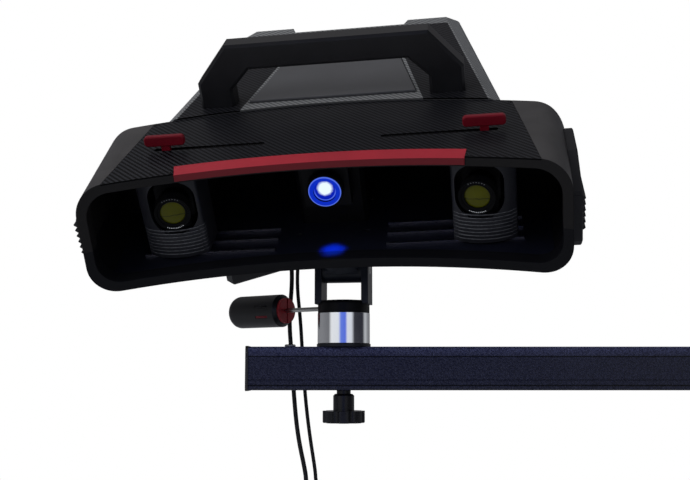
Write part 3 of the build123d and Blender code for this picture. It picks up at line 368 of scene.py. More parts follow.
def carbon(name, bright, deep):
    """Clear-coated twill: two-by-two tows running along and across the scanner, stepping diagonally."""
    tow = 0.0016
    m = Material(name)
    x, y = m.split(m.in_head())[:2]
    across = m.math("DIVIDE", x, tow)
    along = m.math("DIVIDE", y, tow)
    steps = m.math("ADD", m.math("FLOOR", across), m.math("FLOOR", along))
    over = m.math("LESS_THAN", m.math("MODULO", m.math("ADD", steps, 4000.0), 4.0), 1.5)
    crown_x = m.math("ABSOLUTE", m.math("SINE", m.math("MULTIPLY", across, pi)))
    crown_y = m.math("ABSOLUTE", m.math("SINE", m.math("MULTIPLY", along, pi)))
    crown = m.add("ShaderNodeMix", data_type="FLOAT")
    m.join(over, crown.inputs[0])
    m.join(crown_x, crown.inputs[2])
    m.join(crown_y, crown.inputs[3])
    fibre = m.noise(2600, 2)
    # Painted shade: on faces that look forward or back, such as the walls of the slot, the light tows take
    # the dark colour.
    wall_painted_shade = m.spread(m.math("ABSOLUTE", m.facing((0, 1, 0))), 0, 1, 0.5, 0.8)
    light = m.blend(wall_painted_shade, m.blend(fibre, shade(bright, 0.7), shade(bright, 1.3)), (*deep, 1))
    dark = m.blend(fibre, shade(deep, 0.6), shade(deep, 1.4))
    m.set(Base_Color=m.blend(over, dark, light), Specular_IOR_Level=0.06)
    m.set(Roughness=m.spread(m.noise(24, 3), 0.38, 0.50))
    m.set(Normal=m.bump(crown.outputs[0], 0.00012, 0.5))
    m.set(Coat_Weight=0.03, Coat_Roughness=0.12)
    m.join(m.bump(m.noise(45, 2), 0.00008, 0.35), m.shader.inputs["Coat Normal"])
    return m.material


def rubber(name, colour):
    """Matt rubber or soft cable jacket."""
    m = Material(name)
    fine = m.noise(1100, 4)
    slow = m.noise(30, 3)
    m.set(Base_Color=m.blend(slow, shade(colour, 0.8), shade(colour, 1.25)))
    m.set(Roughness=m.spread(fine, 0.55, 0.75), Normal=m.bump(fine, 0.00010, 0.7, m.soft_edges(0.0007)))
    m.set(Specular_IOR_Level=0.3)
    return m.material


def coated_glass(name):
    """The coated front element of a lens: greenish yellow, with a faint dark streak across."""
    m = Material(name)
    facing = m.add("ShaderNodeLayerWeight")
    facing.inputs["Blend"].default_value = 0.35
    slow = m.noise(60, 2)
    tint = m.blend(slow, (0.044, 0.046, 0.0003, 1), (0.088, 0.090, 0.0008, 1))
    z = m.split(m.in_head())[2]
    wavy = m.math("ADD", z, m.spread(m.noise(150, 2), -0.0016, 0.0016))
    streak = m.line(wavy, 0.0085, 0.0002, 0.0007, 0.7)
    tint = m.blend(streak, tint, (0.006, 0.006, 0.002, 1))
    m.set(Base_Color=tint, Specular_IOR_Level=0.15, Roughness=m.spread(m.noise(300, 2), 0.05, 0.11))
    m.set(Coat_Weight=m.spread(facing.outputs["Facing"], 0.0, 0.3), Coat_Roughness=0.03)
    return m.material


# Height of the three optical axes above the middle of the scanner's opening
lens_height = 0.011


def lit_lens(name):
    """The projector's lit optics: a near-white core in deep blue, with fine bright rings. The crescent below
    the core is a painted highlight, and beyond the element the blue glow and its bright edge ring are
    painted light on the dish.
    """
    m = Material(name)
    x, _, z = m.split(m.in_head())

    def distance(right, up):
        """How far a point lies from a place on the projector's face."""
        a = m.math("SUBTRACT", x, right)
        b = m.math("SUBTRACT", z, up)
        return m.math("SQRT", m.math("ADD", m.math("MULTIPLY", a, a), m.math("MULTIPLY", b, b)))

    radius = distance(0, lens_height)
    ragged = m.math("ADD", distance(0.0004, 0.0140), m.spread(m.noise(420, 2), -0.0010, 0.0010))
    core = m.spread(ragged, 1, 0, 0.0058, 0.0088)
    # Beyond the element's rim the glow is painted light: the dish glows for the projector's light that falls
    # on it.
    outside = m.spread(radius, 0, 1, 0.0105, 0.0112)
    glow = m.blend(outside, (0.001, 0.014, 0.52, 1), (0.003, 0.028, 0.60, 1))
    below = m.spread(z, 1, 0, 0.006, 0.014)
    # Painted highlight: a thin bright crescent round the element, below its middle.
    crescent_highlight = m.math("MULTIPLY", m.line(radius, 0.0106, 0.00035, 0.0007), below)
    edge = m.line(radius, 0.0162, 0.00035, 0.0007)
    glow = m.blend(m.math("MAXIMUM", crescent_highlight, edge), glow, (0.11, 0.20, 0.90, 1))
    glow = m.blend(core, glow, (0.76, 0.88, 1.0, 1))
    m.set(Base_Color=(0.001, 0.003, 0.02, 1), Roughness=m.spread(m.noise(220, 2), 0.10, 0.2))
    m.set(Emission_Color=glow, Emission_Strength=m.spread(core, 0.85, 1.1), Specular_IOR_Level=0.05)
    return m.material


def circuit_board(name):
    """Green solder resist over slanting tracks."""
    m = Material(name)
    x, y = m.split(m.in_head())[:2]
    track = m.math("GREATER_THAN", m.math("SINE", m.math("MULTIPLY", m.math("ADD", x, y), 2400.0)), 0.55)
    colours = m.blend(m.math("MULTIPLY", track, 0.5), (0.010, 0.075, 0.040, 1), (0.030, 0.15, 0.085, 1))
    m.set(Base_Color=colours, Roughness=m.spread(m.noise(200, 2), 0.3, 0.45))
    m.set(Coat_Weight=0.5, Coat_Roughness=0.15)
    return m.material


def bench_finish(name):
    """Dark anodised plate with a fine grid of dimples."""
    m = Material(name)
    x, y = m.split(m.in_head())[:2]
    per_metre = 2 * pi / 0.0032
    waves = [m.math("SINE", m.math("MULTIPLY", along, per_metre)) for along in (x, y)]
    dots = m.math("MULTIPLY", *waves)
    dimple = m.spread(dots, 0, 1, 0.25, 0.7)
    slow = m.noise(30, 3)
    dark = m.blend(slow, (0.003, 0.004, 0.010, 1), (0.006, 0.007, 0.014, 1))
    m.set(Base_Color=m.blend(dimple, dark, (0.003, 0.003, 0.004, 1)), Specular_IOR_Level=0.25)
    m.set(Roughness=m.spread(slow, 0.3, 0.42), Normal=m.bump(dimple, 0.0002, 0.4))
    return m.material


materials = {
    "hammered_paint": hammered("hammered_paint"),
    "dark_plastic": satin("dark_plastic", (0.026, 0.025, 0.026), 0.42, gloss=0.3),
    "zinc_steel": brushed("zinc_steel", (0.42, 0.42, 0.41), 0.28),
    "dark_anodised": satin("dark_anodised", (0.008, 0.010, 0.016), 0.38, grain=2200, gloss=0.22),
    "chromed": chromed("chromed"),
    "black_gloss": satin("black_gloss", (0.006, 0.006, 0.008), 0.28, grain=900, coat=0.06, gloss=0.25),
    "crimson": satin("crimson", (0.135, 0.0016, 0.009), 0.42, grain=1300, mottle=0.1, gloss=0.2),
    "carbon_weave": carbon("carbon_weave", (0.0185, 0.019, 0.023), (0.0002, 0.0002, 0.0004)),
    "grey_satin": satin("grey_satin", (0.050, 0.051, 0.056), 0.42, grain=1800, depth=0.00004, mottle=0.08),
    "ribbed_rubber": rubber("ribbed_rubber", (0.012, 0.012, 0.014)),
    "ribbed_paint": ribbed_paint("ribbed_paint"),
    "coated_glass": coated_glass("coated_glass"),
    "rail_steel": brushed("rail_steel", (0.30, 0.29, 0.34), 0.28, stretch=(0.4, 8, 8)),
    "sink_aluminium": brushed("sink_aluminium", (0.45, 0.46, 0.48), 0.35),
    "board_green": circuit_board("board_green"),
    "fan_plastic": satin("fan_plastic", (0.012, 0.012, 0.014), 0.45),
    "cable_jacket": rubber("cable_jacket", (0.009, 0.009, 0.010)),
    "bench": bench_finish("bench"),
    "connector_metal": brushed("connector_metal", (0.60, 0.60, 0.62), 0.25),
    "strap": rubber("strap", (0.010, 0.010, 0.011)),
    "hood_plastic": hood_shell("hood_plastic", (0.035, 0.033, 0.034)),
    "hood_foot": hood_shell("hood_foot", (0.012, 0.0125, 0.017)),
    "lens_black": satin("lens_black", (0.0014, 0.0014, 0.0018), 0.42, grain=900, gloss=0.08),
    "hood_black": satin("hood_black", (0.0075, 0.0075, 0.009), 0.40, gloss=0.3),
    "chassis_weave": carbon("chassis_weave", (0.19, 0.194, 0.20), (0.070, 0.072, 0.075)),
    "deep_black": satin("deep_black", (0.0020, 0.0020, 0.0030), 0.45, grain=900, gloss=0.12),
    # The red strip's faces that look forward take a darker copy of its colour: painted shade.
    "strip_red": satin("strip_red", (0.32, 0.011, 0.024), 0.46, grain=1300, mottle=0.08, gloss=0.3,
                       front=0.4),
    "cap_red": satin("cap_red", (0.26, 0.008, 0.016), 0.42, grain=1300, mottle=0.1, gloss=0.2),
    "lit_lens": lit_lens("lit_lens"),
    "white_mark": satin("white_mark", (0.80, 0.81, 0.83), 0.5, grain=2500, mottle=0.05),
    "faint_mark": satin("faint_mark", (0.16, 0.165, 0.18), 0.5, grain=2500, mottle=0.05),
    "black_screw": satin("black_screw", (0.010, 0.010, 0.011), 0.32, grain=2500, metal=0.6),
}

# Pieces whose finish differs from the rest of their slot
own_finish = {
    "camera_body_left": "deep_black",
    "camera_body_right": "deep_black",
    "cable_duct": "hood_black",
    "chassis_upper_shell": "chassis_weave",
    "collar": "deep_black",
    "handle": "hood_black",
    "hood_lower_shell": "hood_foot",
    "hood_upper_shell": "hood_plastic",
    "lever_cap": "cap_red",
    "lever_grip": "hood_black",
    "optical_bench": "bench",
    "projector_barrel": "deep_black",
    "projector_housing": "deep_black",
    "red_front_strip": "strip_red",
    "tilt_block": "dark_anodised",
    "turret_left": "ribbed_paint",
    "turret_right": "ribbed_paint",
}


# Shape helpers

def mesh_piece(name, verts, faces, material, matrix=None, smooth=None):
    mesh = bpy.data.meshes.new(name)
    mesh.from_pydata([tuple(v) for v in verts], [], faces)
    mesh.validate()
    piece = bpy.data.objects.new(name, mesh)
    bpy.context.collection.objects.link(piece)
    if matrix is not None:
        mesh.transform(matrix)
    mesh.materials.append(material)
    if smooth is not None:
        mesh.shade_smooth()
        mesh.set_sharp_from_angle(angle=radians(smooth))
    return piece


def lathe(name, profile, material, matrix, steps=64, smooth=35, loop=False):
    """Turn (radius, height) points about the local Z axis: closed by end faces, or as a hollow band."""
    verts = []
    faces = []
    for radius, height in profile:
        for i in range(steps):
            turn = 2 * pi * i / steps
            verts.append((radius * cos(turn), radius * sin(turn), height))
    rows = len(profile)
    for j in range(rows if loop else rows - 1):
        k = (j + 1) % rows
        for i in range(steps):
            n = (i + 1) % steps
            faces.append((j * steps + i, j * steps + n, k * steps + n, k * steps + i))
    if not loop:
        faces.append(tuple(reversed(range(steps))))
        faces.append(tuple(range((rows - 1) * steps, rows * steps)))
    return tidy_mesh(mesh_piece(name, verts, faces, material, matrix, smooth))


def tidy_mesh(piece):
    """Join doubled points, drop faces without area and turn every face outward."""
    work = bmesh.new()
    work.from_mesh(piece.data)
    bmesh.ops.remove_doubles(work, verts=work.verts, dist=1e-7)
    bmesh.ops.dissolve_degenerate(work, edges=work.edges, dist=1e-7)
    bmesh.ops.recalc_face_normals(work, faces=work.faces)
    work.to_mesh(piece.data)
    work.free()
    return piece


def soft_block(name, low, high, bevel, material, matrix, segments=3):
    """A block with rounded edges, from its lowest to its highest corner."""
    work = bmesh.new()
    bmesh.ops.create_cube(work, size=1)
    size = [b - a for a, b in zip(low, high)]
    middle = [(a + b) / 2 for a, b in zip(low, high)]
    bmesh.ops.scale(work, vec=size, verts=work.verts)
    bmesh.ops.translate(work, vec=middle, verts=work.verts)
    bmesh.ops.bevel(work, geom=work.edges, offset=bevel, segments=segments, profile=0.5, affect="EDGES")
    mesh = bpy.data.meshes.new(name)
    work.to_mesh(mesh)
    work.free()
    mesh.transform(matrix)
    mesh.materials.append(material)
    mesh.shade_smooth()
    mesh.set_sharp_from_angle(angle=radians(40))
    piece = bpy.data.objects.new(name, mesh)
    bpy.context.collection.objects.link(piece)
    return piece


def pointing(place, direction):
    """A frame at place whose Z axis points along direction."""
    turn = Vector(direction).normalized().to_track_quat("Z", "Y").to_matrix().to_4x4()
    return Matrix.Translation(place) @ turn


def finish_piece(piece, body):
    """Give a piece the body that carries it."""
    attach(piece, body)


# The cables come first: each is one spline through its route, its coil and its plug

def coil_seats(columns, pitch):
    """Where the turns of a coil lie in its bundle, one column after the other: (further out, sideways)."""
    seats = []
    for c, count in enumerate(columns):
        column = [((count - 1) / 2 - r) * pitch for r in range(count)]
        if c % 2:
            column.reverse()
        seats += [(out, (c - (len(columns) - 1) / 2) * pitch) for out in column]
    return seats


def coil_turns(centre, radius, seats, turns):
    """Control points of the turns, from the right side of the ring on round it."""
    per_turn = 16
    step_from = 0.6
    total = round(turns * per_turn)
    points = []
    for i in range(total):
        turn = pi / 2 + 2 * pi * i / per_turn
        place = i / total * len(seats)
        here = seats[int(place)]
        there = seats[min(int(place) + 1, len(seats) - 1)]
        share = max(place - int(place) - step_from, 0) / (1 - step_from)
        share = share * share * (3 - 2 * share)
        out = here[0] + (there[0] - here[0]) * share
        side = here[1] + (there[1] - here[1]) * share
        reach = radius + out
        points.append((centre[0] + reach * sin(turn), centre[1] + side, centre[2] + reach * cos(turn)))
    return points


def cable_curve(name, points, diameter, material):
    curve = bpy.data.curves.new(name, "CURVE")
    curve.dimensions = "3D"
    spline = curve.splines.new("NURBS")
    spline.points.add(len(points) - 1)
    for point, place in zip(spline.points, points):
        point.co = (*place, 1)
    spline.order_u = 3
    spline.use_endpoint_u = True
    spline.resolution_u = 6
    curve.bevel_depth = diameter / 2
    curve.bevel_resolution = 5
    curve.use_fill_caps = True
    curve.materials.append(material)
    piece = bpy.data.objects.new(name, curve)
    bpy.context.collection.objects.link(piece)
    return piece


data_route = [(-0.48543, 0.09093, 0.19519), (-0.48543, 0.09093, 0.15019), (-0.482, 0.093, 0.107),
              (-0.4864, 0.095, 0.06), (-0.4824, 0.0944, 0.013), (-0.4794, 0.0914, -0.034),
              (-0.4744, 0.0868, -0.079), (-0.4646, 0.081, -0.121)]
power_route = [(-0.47355, 0.08926, 0.19556), (-0.47355, 0.08926, 0.15056), (-0.4776, 0.099, 0.105),
               (-0.4726, 0.1036, 0.058), (-0.4698, 0.1046, 0.011), (-0.4664, 0.104, -0.035),
               (-0.461, 0.1042, -0.079), (-0.454, 0.1046, -0.121)]

# How a cable runs into its coil and out of it, for a coil of 29 mm: (right, back, up) from its middle
coil_model_radius = 0.029
run_in = [(0.0005, 0.0, 0.058), (0.004, -0.001, 0.049), (0.011, -0.003, 0.040), (0.022, -0.0055, 0.029),
          (0.030, -0.0075, 0.0145)]
run_out = [(0.007, 0.0065, -0.036), (0.0018, 0.003, -0.047), (0.0, 0.0005, -0.056)]
tail = 0.024


def cable_points(route, centre, radius, bundle, seats, turns):
    """Control points of a whole cable: its route, the turns of its coil and its tail."""
    grow = radius / coil_model_radius
    into = [tuple(c + grow * d for c, d in zip(centre, step)) for step in run_in]
    out = [tuple(c + grow * d for c, d in zip(centre, step)) for step in run_out]
    end = (centre[0], centre[1], centre[2] - radius - bundle - tail)
    return route + into + coil_turns(centre, radius, seats, turns) + out + [end]


def boot_sleeve(name, top, diameter):
    """The ribbed, tapered strain relief round the first stretch of a cable."""
    length = 0.0245
    inner = diameter / 2 - 0.0001
    profile = [(inner, 0.0), (inner, -length)]
    ribs = 7
    for i in range(ribs):
        for share, proud in ((0.05, 0.0), (0.25, 0.00055), (0.75, 0.00055), (0.95, 0.0)):
            along = length * (1 - (i + share) / ribs)
            radius = diameter / 2 + 0.0011 + 0.0023 * (1 - along / length) + proud
            profile.append((radius, -along))
    place = Matrix.Translation((top[0], top[1], top[2] + length + 0.0003))
    return lathe(name, profile, materials["ribbed_rubber"], place, 40, 30, loop=True)


def coil_tie(name, centre, radius, turn, outer):
    """A soft strap round the bundle of turns."""
    place = Vector(centre) + Vector((sin(turn), 0, cos(turn))) * radius
    inner = outer - 0.0007
    half = 0.0045
    profile = [(inner, -half), (outer - 0.0002, -half), (outer, -half + 0.0004), (outer, half - 0.0004),
               (outer - 0.0002, half), (inner, half)]
    frame_here = pointing(place, (cos(turn), 0, -sin(turn)))
    return lathe(name, profile, materials["strap"], frame_here, 40, 30, loop=True)


def data_plug_pieces(top):
    """A moulded grip with finger ridges, and a metal shell with a dark mouth."""
    place = Matrix.Translation(top)
    boot = [(0.0, -0.0142), (0.0052, -0.0142), (0.0053, -0.0120), (0.0046, -0.0112), (0.0050, -0.0100),
            (0.0043, -0.0088), (0.0046, -0.0076), (0.0039, -0.0062), (0.0041, -0.0050),
            (0.0036, -0.0034), (0.0034, -0.0002), (0.0, 0.0)]
    pieces = [lathe("data_plug_boot", boot, materials["ribbed_rubber"], place, 40, 50)]
    pieces.append(soft_block("data_plug_grip", (-0.0078, -0.0043, -0.036), (0.0078, 0.0043, -0.014), 0.0016,
                             materials["cable_jacket"], place))
    for i in range(5):
        z = -0.0185 - i * 0.0028
        pieces.append(soft_block(f"data_plug_ridge_{i}", (-0.0079, -0.0030, z - 0.0007),
                                 (0.0079, 0.0030, z + 0.0007), 0.0004, materials["ribbed_rubber"], place, 2))
    shell = soft_block("data_plug_shell", (-0.006, -0.0023, -0.04797), (0.006, 0.0023, -0.0355), 0.0005,
                       materials["connector_metal"], place)
    mouth = soft_block("data_plug_mouth", (-0.0054, -0.0018, -0.048), (0.0054, 0.0006, -0.047), 0.0002,
                       materials["black_gloss"], place, 1)
    return pieces + [shell, mouth]


def power_plug_pieces(top):
    """A round grip with ridges, and the metal sleeve of a barrel plug."""
    place = Matrix.Translation(top)
    grip = [(0.0, -0.0342), (0.0058, -0.0342), (0.0064, -0.0334), (0.0064, -0.0310)]
    for i in range(5):
        z = -0.0290 + i * 0.0028
        grip += [(0.0064, z), (0.0058, z + 0.0005), (0.0058, z + 0.0013), (0.0064, z + 0.0018)]
    grip += [(0.0064, -0.0128), (0.0054, -0.0118), (0.0046, -0.0110), (0.0049, -0.0096), (0.0041, -0.0082),
             (0.0043, -0.0068), (0.0036, -0.0052), (0.0037, -0.0038), (0.0030, -0.0020), (0.0029, 0.0),
             (0.0, 0.0)]
    sleeve = [(0.0013, -0.0425), (0.0013, -0.044), (0.0026, -0.044), (0.00275, -0.0437), (0.00275, -0.0338),
              (0.0013, -0.0338)]
    return [lathe("power_plug_grip", grip, materials["cable_jacket"], place, 48, 30),
            lathe("power_plug_sleeve", sleeve, materials["connector_metal"], place, 40, 30, loop=True)]


def add_cable(kind, plug_pieces, route, diameter, middle, radius, bundle, columns, turns):
    """A cable with its boot sleeve, its coil, the coil's straps and its plug."""
    seats = coil_seats(columns, diameter)
    points = cable_points(route, middle, radius, bundle, seats, turns)
    cord = cable_curve(kind + "_cord", points, diameter, materials["cable_jacket"])
    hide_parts(kind + "_cable", kind + "_cable_coil")
    finish_piece(cord, "cables")
    extras = [boot_sleeve(kind + "_boot_sleeve", route[0], diameter)]
    for i, turn in enumerate((radians(215), radians(335))):
        extras.append(coil_tie(f"{kind}_coil_strap_{i}", middle, radius, turn, bundle - 0.0001))
    plug = plug_pieces(points[-1])
    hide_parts(kind + "_plug")
    for piece in extras + plug:
        finish_piece(piece, "cables")


add_cable("data", data_plug_pieces, data_route, diameter=0.0052,
          middle=(-0.4646, 0.081, -0.1895), radius=0.029, bundle=0.0115, columns=(2, 4, 4, 2),
          turns=11 + 1 / 6)
add_cable("power", power_plug_pieces, power_route, diameter=0.0044,
          middle=(-0.454, 0.1046, -0.1818), radius=0.025, bundle=0.0098, columns=(2, 3, 3, 2),
          turns=10 + 1 / 6)


# Lenses: their distance from the middle, their turn inward and the point that they turn about
lens_offset = 0.159
lens_turn = 9.5
lens_turn_depth = 0.053


def dome_points(radius, top, height, steps):
    """Points down the radius of a shallow dome, from its rim to its middle."""
    shares = [1 - i / steps for i in range(steps + 1)]
    return [(radius * share, top - height * share ** 2) for share in shares]


def lens_pieces(name, side):
    """The stepped front rings with their grip notches, and the domed coated element."""
    place = head_frame @ Matrix.Translation((side * lens_offset, lens_turn_depth, 0))
    place = place @ Matrix.Rotation(radians(-lens_turn * side), 4, "Z")
    place = place @ Matrix.Translation((0, -lens_turn_depth, lens_height))
    place = place @ Matrix.Rotation(radians(90), 4, "X")
    grip = 0.0185
    notch = 0.0181
    barrel = [(0.0137, -0.0142), (0.0137, -0.0119), (0.0126, -0.0113), (0.0126, -0.0106), (0.0130, -0.0103),
              (0.0143, -0.0104), (0.0149, -0.0102), (0.0151, -0.0097), (0.0157, -0.0095),
              (0.0159, -0.0090), (0.0170, -0.0089), (0.0172, -0.0086), (notch, -0.0085), (grip, -0.0089),
              (grip, -0.0118), (notch, -0.0121), (notch, -0.0128)]
    for i in range(6):
        start = -0.0130 - i * 0.0014
        barrel += [(grip, start), (grip, start - 0.0008), (notch, start - 0.0010), (notch, start - 0.0013)]
    barrel += [(0.0184, -0.0216), (0.0184, -0.0224), (0.0155, -0.0226), (0.0155, -0.0378), (0.0130, -0.0379),
               (0.0130, -0.0146)]
    pieces = [lathe("lens_front_" + name, barrel, materials["lens_black"], place, 72, 40, loop=True)]
    dome = [(0.0, -0.0148), (0.0128, -0.0148), (0.0135, -0.0141), (0.0135, -0.0122)]
    dome += dome_points(0.0133, -0.0104, 0.0016, 8)
    pieces.append(lathe("lens_element_" + name, dome, materials["coated_glass"], place, 72, 40))
    return pieces, place


def index_marks(name, place, first, last, count, finish):
    """Short printed marks round the front ring, every third one longer, without any lettering."""
    radius = 0.0160
    height = -0.00888
    half_width = 0.00038
    verts = []
    faces = []
    for i in range(count):
        turn = radians(first + (last - first) * i / (count - 1))
        long = 0.0021 if i % 3 == 0 else 0.0013
        for reach, spin in ((0, -1), (long, -1), (long, 1), (0, 1)):
            angle = turn + spin * half_width / radius
            verts.append(((radius + reach) * cos(angle), (radius + reach) * sin(angle), height))
        faces.append(tuple(range(4 * i, 4 * i + 4)))
    return mesh_piece(name, verts, faces, materials[finish], place)


def add_lenses():
    """The front of both cameras, with plain marks in the place of lettering."""
    for name, side in (("left", -1), ("right", 1)):
        body = name + "_carriage"
        (front, element), place = lens_pieces(name, side)
        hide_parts("lens_barrel_" + name)
        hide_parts("lens_glass_" + name)
        finish_piece(front, body)
        finish_piece(element, body)
        marks = index_marks("lens_marks_" + name, place, -118, -62, 10, "white_mark")
        finish_piece(marks, body)
        more = index_marks("lens_marks_upper_" + name, place, 62, 118, 7, "faint_mark")
        finish_piece(more, body)


add_lenses()


def add_projector():
    """The lit front element of the projector, and the dish round it, which glows with the same emission:
    painted light for the projector's blue light falling on it.
    """
    place = head_frame @ Matrix.Translation((0, 0, lens_height)) @ Matrix.Rotation(radians(90), 4, "X")
    dome = [(0.0, -0.0470), (0.0118, -0.0470), (0.0120, -0.0466), (0.0120, -0.0418)]
    dome += dome_points(0.0118, -0.0392, 0.0020, 9)
    glass = lathe("projector_element", dome, materials["lit_lens"], place, 72, 40)
    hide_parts("projector_glass")
    finish_piece(glass, "scanner")
    # Painted light: the dish glows, though it is no lamp.
    dish = [(0.0119, -0.0390), (0.0119, -0.0387), (0.0150, -0.0382), (0.0163, -0.0378), (0.0166, -0.0380),
            (0.0167, -0.0390)]
    ring = lathe("projector_dish", dish, materials["lit_lens"], place, 72, 40, loop=True)
    finish_piece(ring, "scanner")


add_projector()


# Screws sit on the top panel, at this height, and screws, sockets and the fan guard on the rear panel, at
# this depth
panel_top = 0.056
panel_back = 0.391
backward = head_frame.to_3x3() @ Vector((0, 1, 0))


def screw_head(name, place, radius, height):
    """A low socket head: a rounded rim and a socket with flat sides."""
    steps = 24
    sides = 6
    rings = [(radius, 0.0), (radius, height * 0.6), (radius * 0.86, height), (radius * 0.56, height)]
    verts = []
    for ring, level in rings:
        for i in range(steps):
            turn = 2 * pi * i / steps
            verts.append((ring * cos(turn), ring * sin(turn), level))
    for level in (height, height * 0.3):
        for i in range(steps):
            turn = 2 * pi * i / steps
            part = (turn % (2 * pi / sides)) - pi / sides
            flat = radius * 0.42 * cos(pi / sides) / cos(part)
            verts.append((flat * cos(turn), flat * sin(turn), level))
    faces = []
    for j in range(5):
        for i in range(steps):
            n = (i + 1) % steps
            faces.append((j * steps + i, j * steps + n, (j + 1) * steps + n, (j + 1) * steps + i))
    faces.append(tuple(range(5 * steps, 6 * steps)))
    faces.append(tuple(reversed(range(steps))))
    return tidy_mesh(mesh_piece(name, verts, faces, materials["black_screw"], place, 35))


def add_screws():
    """Screws round the top panel and in the corners of the rear panel."""
    upward = [(-0.190, 0.130), (0.190, 0.130), (-0.145, 0.012), (0.145, 0.012), (-0.002, 0.146)]
    for i, (x, y) in enumerate(upward):
        place = head_frame @ Matrix.Translation((x, y, panel_top - 0.0001))
        finish_piece(screw_head(f"panel_screw_{i}", place, 0.0021, 0.0006), "scanner")
    for i, (x, z) in enumerate(((-0.063, -0.040), (0.063, -0.040), (0.063, 0.040), (-0.063, 0.040))):
        place = pointing(head_frame @ Vector((x, panel_back - 0.0011, z)), backward)
        finish_piece(screw_head(f"rear_screw_{i}", place, 0.0014, 0.0016), "scanner")


add_screws()


def add_rear_sockets():
    """Two bare sockets and a fan guard on the rear panel, and a dark foam filter inside, before the fan,
    which also stands in for the shade inside the chassis.
    """
    radius = 0.0055
    profile = [(0.0, -0.0002), (radius + 0.0012, -0.0002), (radius + 0.0012, 0.0022),
               (radius + 0.0008, 0.0026), (radius, 0.0026), (radius - 0.0003, 0.0022),
               (radius - 0.0003, 0.0004), (0.0012, 0.0003), (0.0011, 0.0018), (0.0, 0.0018)]
    for name, x in (("power", -0.046), ("data", -0.028)):
        place = pointing(head_frame @ Vector((x, panel_back, 0.024)), backward)
        socket = lathe(name + "_socket", profile, materials["connector_metal"], place, 48, 35)
        finish_piece(socket, "scanner")
    place = pointing(head_frame @ Vector((0.028, panel_back, 0)), backward)
    wire = 0.0008
    turns = [2 * pi * k / 10 for k in range(10)]
    for i, ring in enumerate((0.008, 0.015, 0.022)):
        hoop = [(ring + wire * cos(turn), 0.0009 + wire * sin(turn)) for turn in turns]
        piece = lathe(f"fan_guard_{i}", hoop, materials["connector_metal"], place, 64, 60, loop=True)
        finish_piece(piece, "scanner")
    # A dark sheet, partly a foam filter and partly painted shade: it stands in for the dark inside of the
    # chassis and closes the view through the fan.
    filter_shade_sheet = soft_block("fan_filter_shade_sheet", (-0.0015, 0.3702, -0.0295), (0.0575, 0.3728, 0.0295), 0.0004,
                             materials["strap"], head_frame, 2)
    finish_piece(filter_shade_sheet, "scanner")


add_rear_sockets()


def add_grip_marks():
    """The inlays in the two slots of the lever's grip, black above and red below."""
    lever_height = 0.0669
    lever_turn = pan + radians(154.2)
    lever = Matrix.Translation((mount_x, 0, lever_height)) @ Matrix.Rotation(lever_turn, 4, "Z")
    middle = 0.106
    for name, turn, finish in (("upper", 12, "black_gloss"), ("lower", -24, "crimson")):
        place = lever @ Matrix.Rotation(radians(turn), 4, "X") @ Matrix.Translation((middle, 0.0183, 0))
        piece = soft_block(f"grip_inlay_{name}", (-0.0088, -0.0004, -0.0015), (0.0088, 0.0004, 0.0015),
                           0.0003, materials[finish], place, 2)
        finish_piece(piece, "lock_lever")


add_grip_marks()


# Floor and light

def ground(z):
    """A pale floor below everything. The camera sees it white, but for the object's shadow."""
    verts = [(-30, -30, z), (30, -30, z), (30, 30, z), (-30, 30, z)]
    m = Material("floor")
    path = m.add("ShaderNodeLightPath")
    seen = m.math("MAXIMUM", path.outputs["Is Camera Ray"], path.outputs["Is Transmission Ray"])
    glow = m.add("ShaderNodeEmission")
    glow.inputs["Color"].default_value = (1, 1, 1, 1)
    pale = m.add("ShaderNodeBsdfDiffuse")
    pale.inputs["Color"].default_value = (0.93, 0.93, 0.93, 1)
    away = m.vector_math("DISTANCE", m.place, (mount_x, 0.0, z))
    shadowed = m.mix_shaders(m.spread(away, 0.5, 1.0, 0.4, 1.3), pale.outputs[0], glow.outputs[0])
    tone = m.blend(m.noise(3, 2), (0.46, 0.47, 0.50, 1), (0.50, 0.51, 0.54, 1))
    m.set(Base_Color=tone, Roughness=0.8)
    m.join(m.mix_shaders(seen, m.shader.outputs[0], shadowed), m.output.inputs["Surface"])
    mesh_piece("floor", verts, [(0, 1, 2, 3)], m.material)


floor_height = -0.32
ground(floor_height)


def light(name, place, aim, size, power):
    """A soft rectangular lamp at a place, aimed at another."""
    lamp = bpy.data.lights.new(name, "AREA")
    lamp.shape = "RECTANGLE"
    lamp.size, lamp.size_y = size
    lamp.energy = power
    holder = bpy.data.objects.new(name, lamp)
    holder.matrix_world = pointing(place, Vector(place) - Vector(aim))
    bpy.context.collection.objects.link(holder)


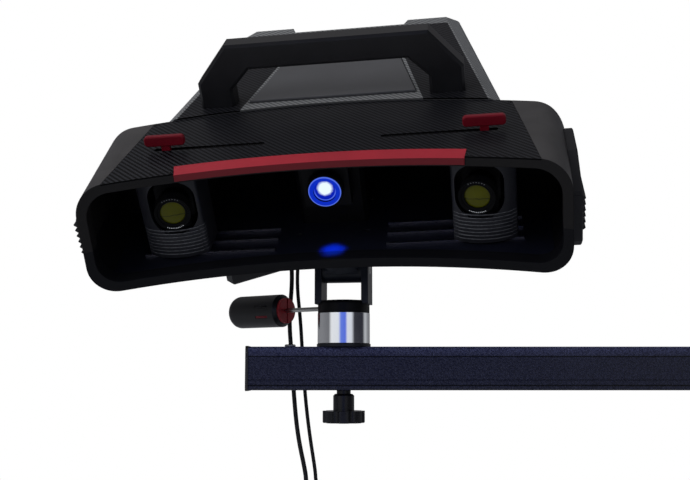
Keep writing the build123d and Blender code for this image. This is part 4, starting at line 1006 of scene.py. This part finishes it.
def studio():
    """White to the camera, an even grey for soft light, and a few bright panels for reflections."""
    world = bpy.data.worlds.new("studio")
    bpy.context.scene.world = world
    world.use_nodes = True
    w = Nodes(world.node_tree)

    def background(colour):
        node = w.add("ShaderNodeBackground")
        w.put(colour, node.inputs["Color"])
        return node.outputs[0]

    path = w.add("ShaderNodeLightPath").outputs
    split = w.add("ShaderNodeSeparateXYZ")
    w.join(w.add("ShaderNodeTexCoord").outputs["Generated"], split.inputs[0])
    x, y, z = split.outputs
    around = w.math("ADD", w.math("DIVIDE", w.math("ARCTAN2", x, w.math("MULTIPLY", y, -1.0)), 2 * pi), 0.5)
    panels = w.ramp(around, [
        (0.0, (0.24, 0.24, 0.25)), (0.20, (0.26, 0.26, 0.27)), (0.31, (0.20, 0.20, 0.21)),
        (0.345, (1.0, 1.0, 1.0)), (0.435, (0.95, 0.97, 1.0)), (0.465, (0.16, 0.26, 0.90)),
        (0.520, (0.12, 0.20, 0.88)), (0.545, (0.90, 0.92, 1.0)), (0.595, (0.85, 0.87, 0.92)),
        (0.630, (0.04, 0.04, 0.05)), (0.755, (0.03, 0.03, 0.04)), (0.80, (0.58, 0.59, 0.60)),
        (0.87, (0.24, 0.24, 0.25)), (1.0, (0.24, 0.24, 0.25))])
    sky = w.ramp(w.math("ADD", w.math("MULTIPLY", z, 0.5), 0.5), [
        (0.0, (0.05, 0.05, 0.08)), (0.30, (0.03, 0.03, 0.05)), (0.60, (0.03, 0.03, 0.04)),
        (0.85, (0.20, 0.20, 0.21)), (1.0, (0.42, 0.41, 0.42))])
    far_off = w.math("DIVIDE", w.math("SUBTRACT", w.math("ABSOLUTE", z), 0.25), 0.2)
    near_level = w.math("SUBTRACT", 1.0, far_off, True)
    reflected = background(w.blend(near_level, sky, panels))
    soft = background((0.44, 0.45, 0.47, 1))
    lit = w.mix_shaders(path["Is Glossy Ray"], soft, reflected)
    out = w.add("ShaderNodeOutputWorld")
    seen = w.mix_shaders(path["Is Camera Ray"], lit, background((1, 1, 1, 1)))
    w.join(seen, out.inputs["Surface"])


def lights():
    """Three soft lamps, and the projector's blue light on the floor of the opening."""
    light("key", (-2.1, -1.3, 1.3), (mount_x, 0, 0.2), (1.2, 1.2), 22)
    light("fill", (1.2, -1.5, 0.9), (mount_x, 0, 0.15), (1.4, 1.4), 0.6)
    light("top", (-1.5, 0.5, 1.9), (mount_x, 0.1, 0.3), (1.6, 1.0), 11)
    glow = bpy.data.lights.new("projector_glow", "SPOT")
    glow.energy = 8.5
    glow.color = (0.0, 0.06, 1.0)
    glow.spot_size = radians(30)
    glow.spot_blend = 1.0
    glow.shadow_soft_size = 0.004
    holder = bpy.data.objects.new("projector_glow", glow)
    start = head_frame @ Vector((0.000, 0.030, 0.008))
    holder.matrix_world = pointing(start, start - head_frame @ Vector((0.003, 0.021, -0.048)))
    bpy.context.collection.objects.link(holder)
    for lamp in bpy.context.scene.objects:
        if lamp.type == "LIGHT":
            lamp.visible_glossy = False


studio()
lights()

# The CAD pieces take their finished materials
for slot in frame["record"]["subparts"]:
    node = frame["nodes"][slot["node"]]
    node.data.materials.clear()
    node.data.materials.append(materials[own_finish.get(slot["node"], slot["material_slot"])])

bpy.context.scene.view_settings.view_transform = "Standard"
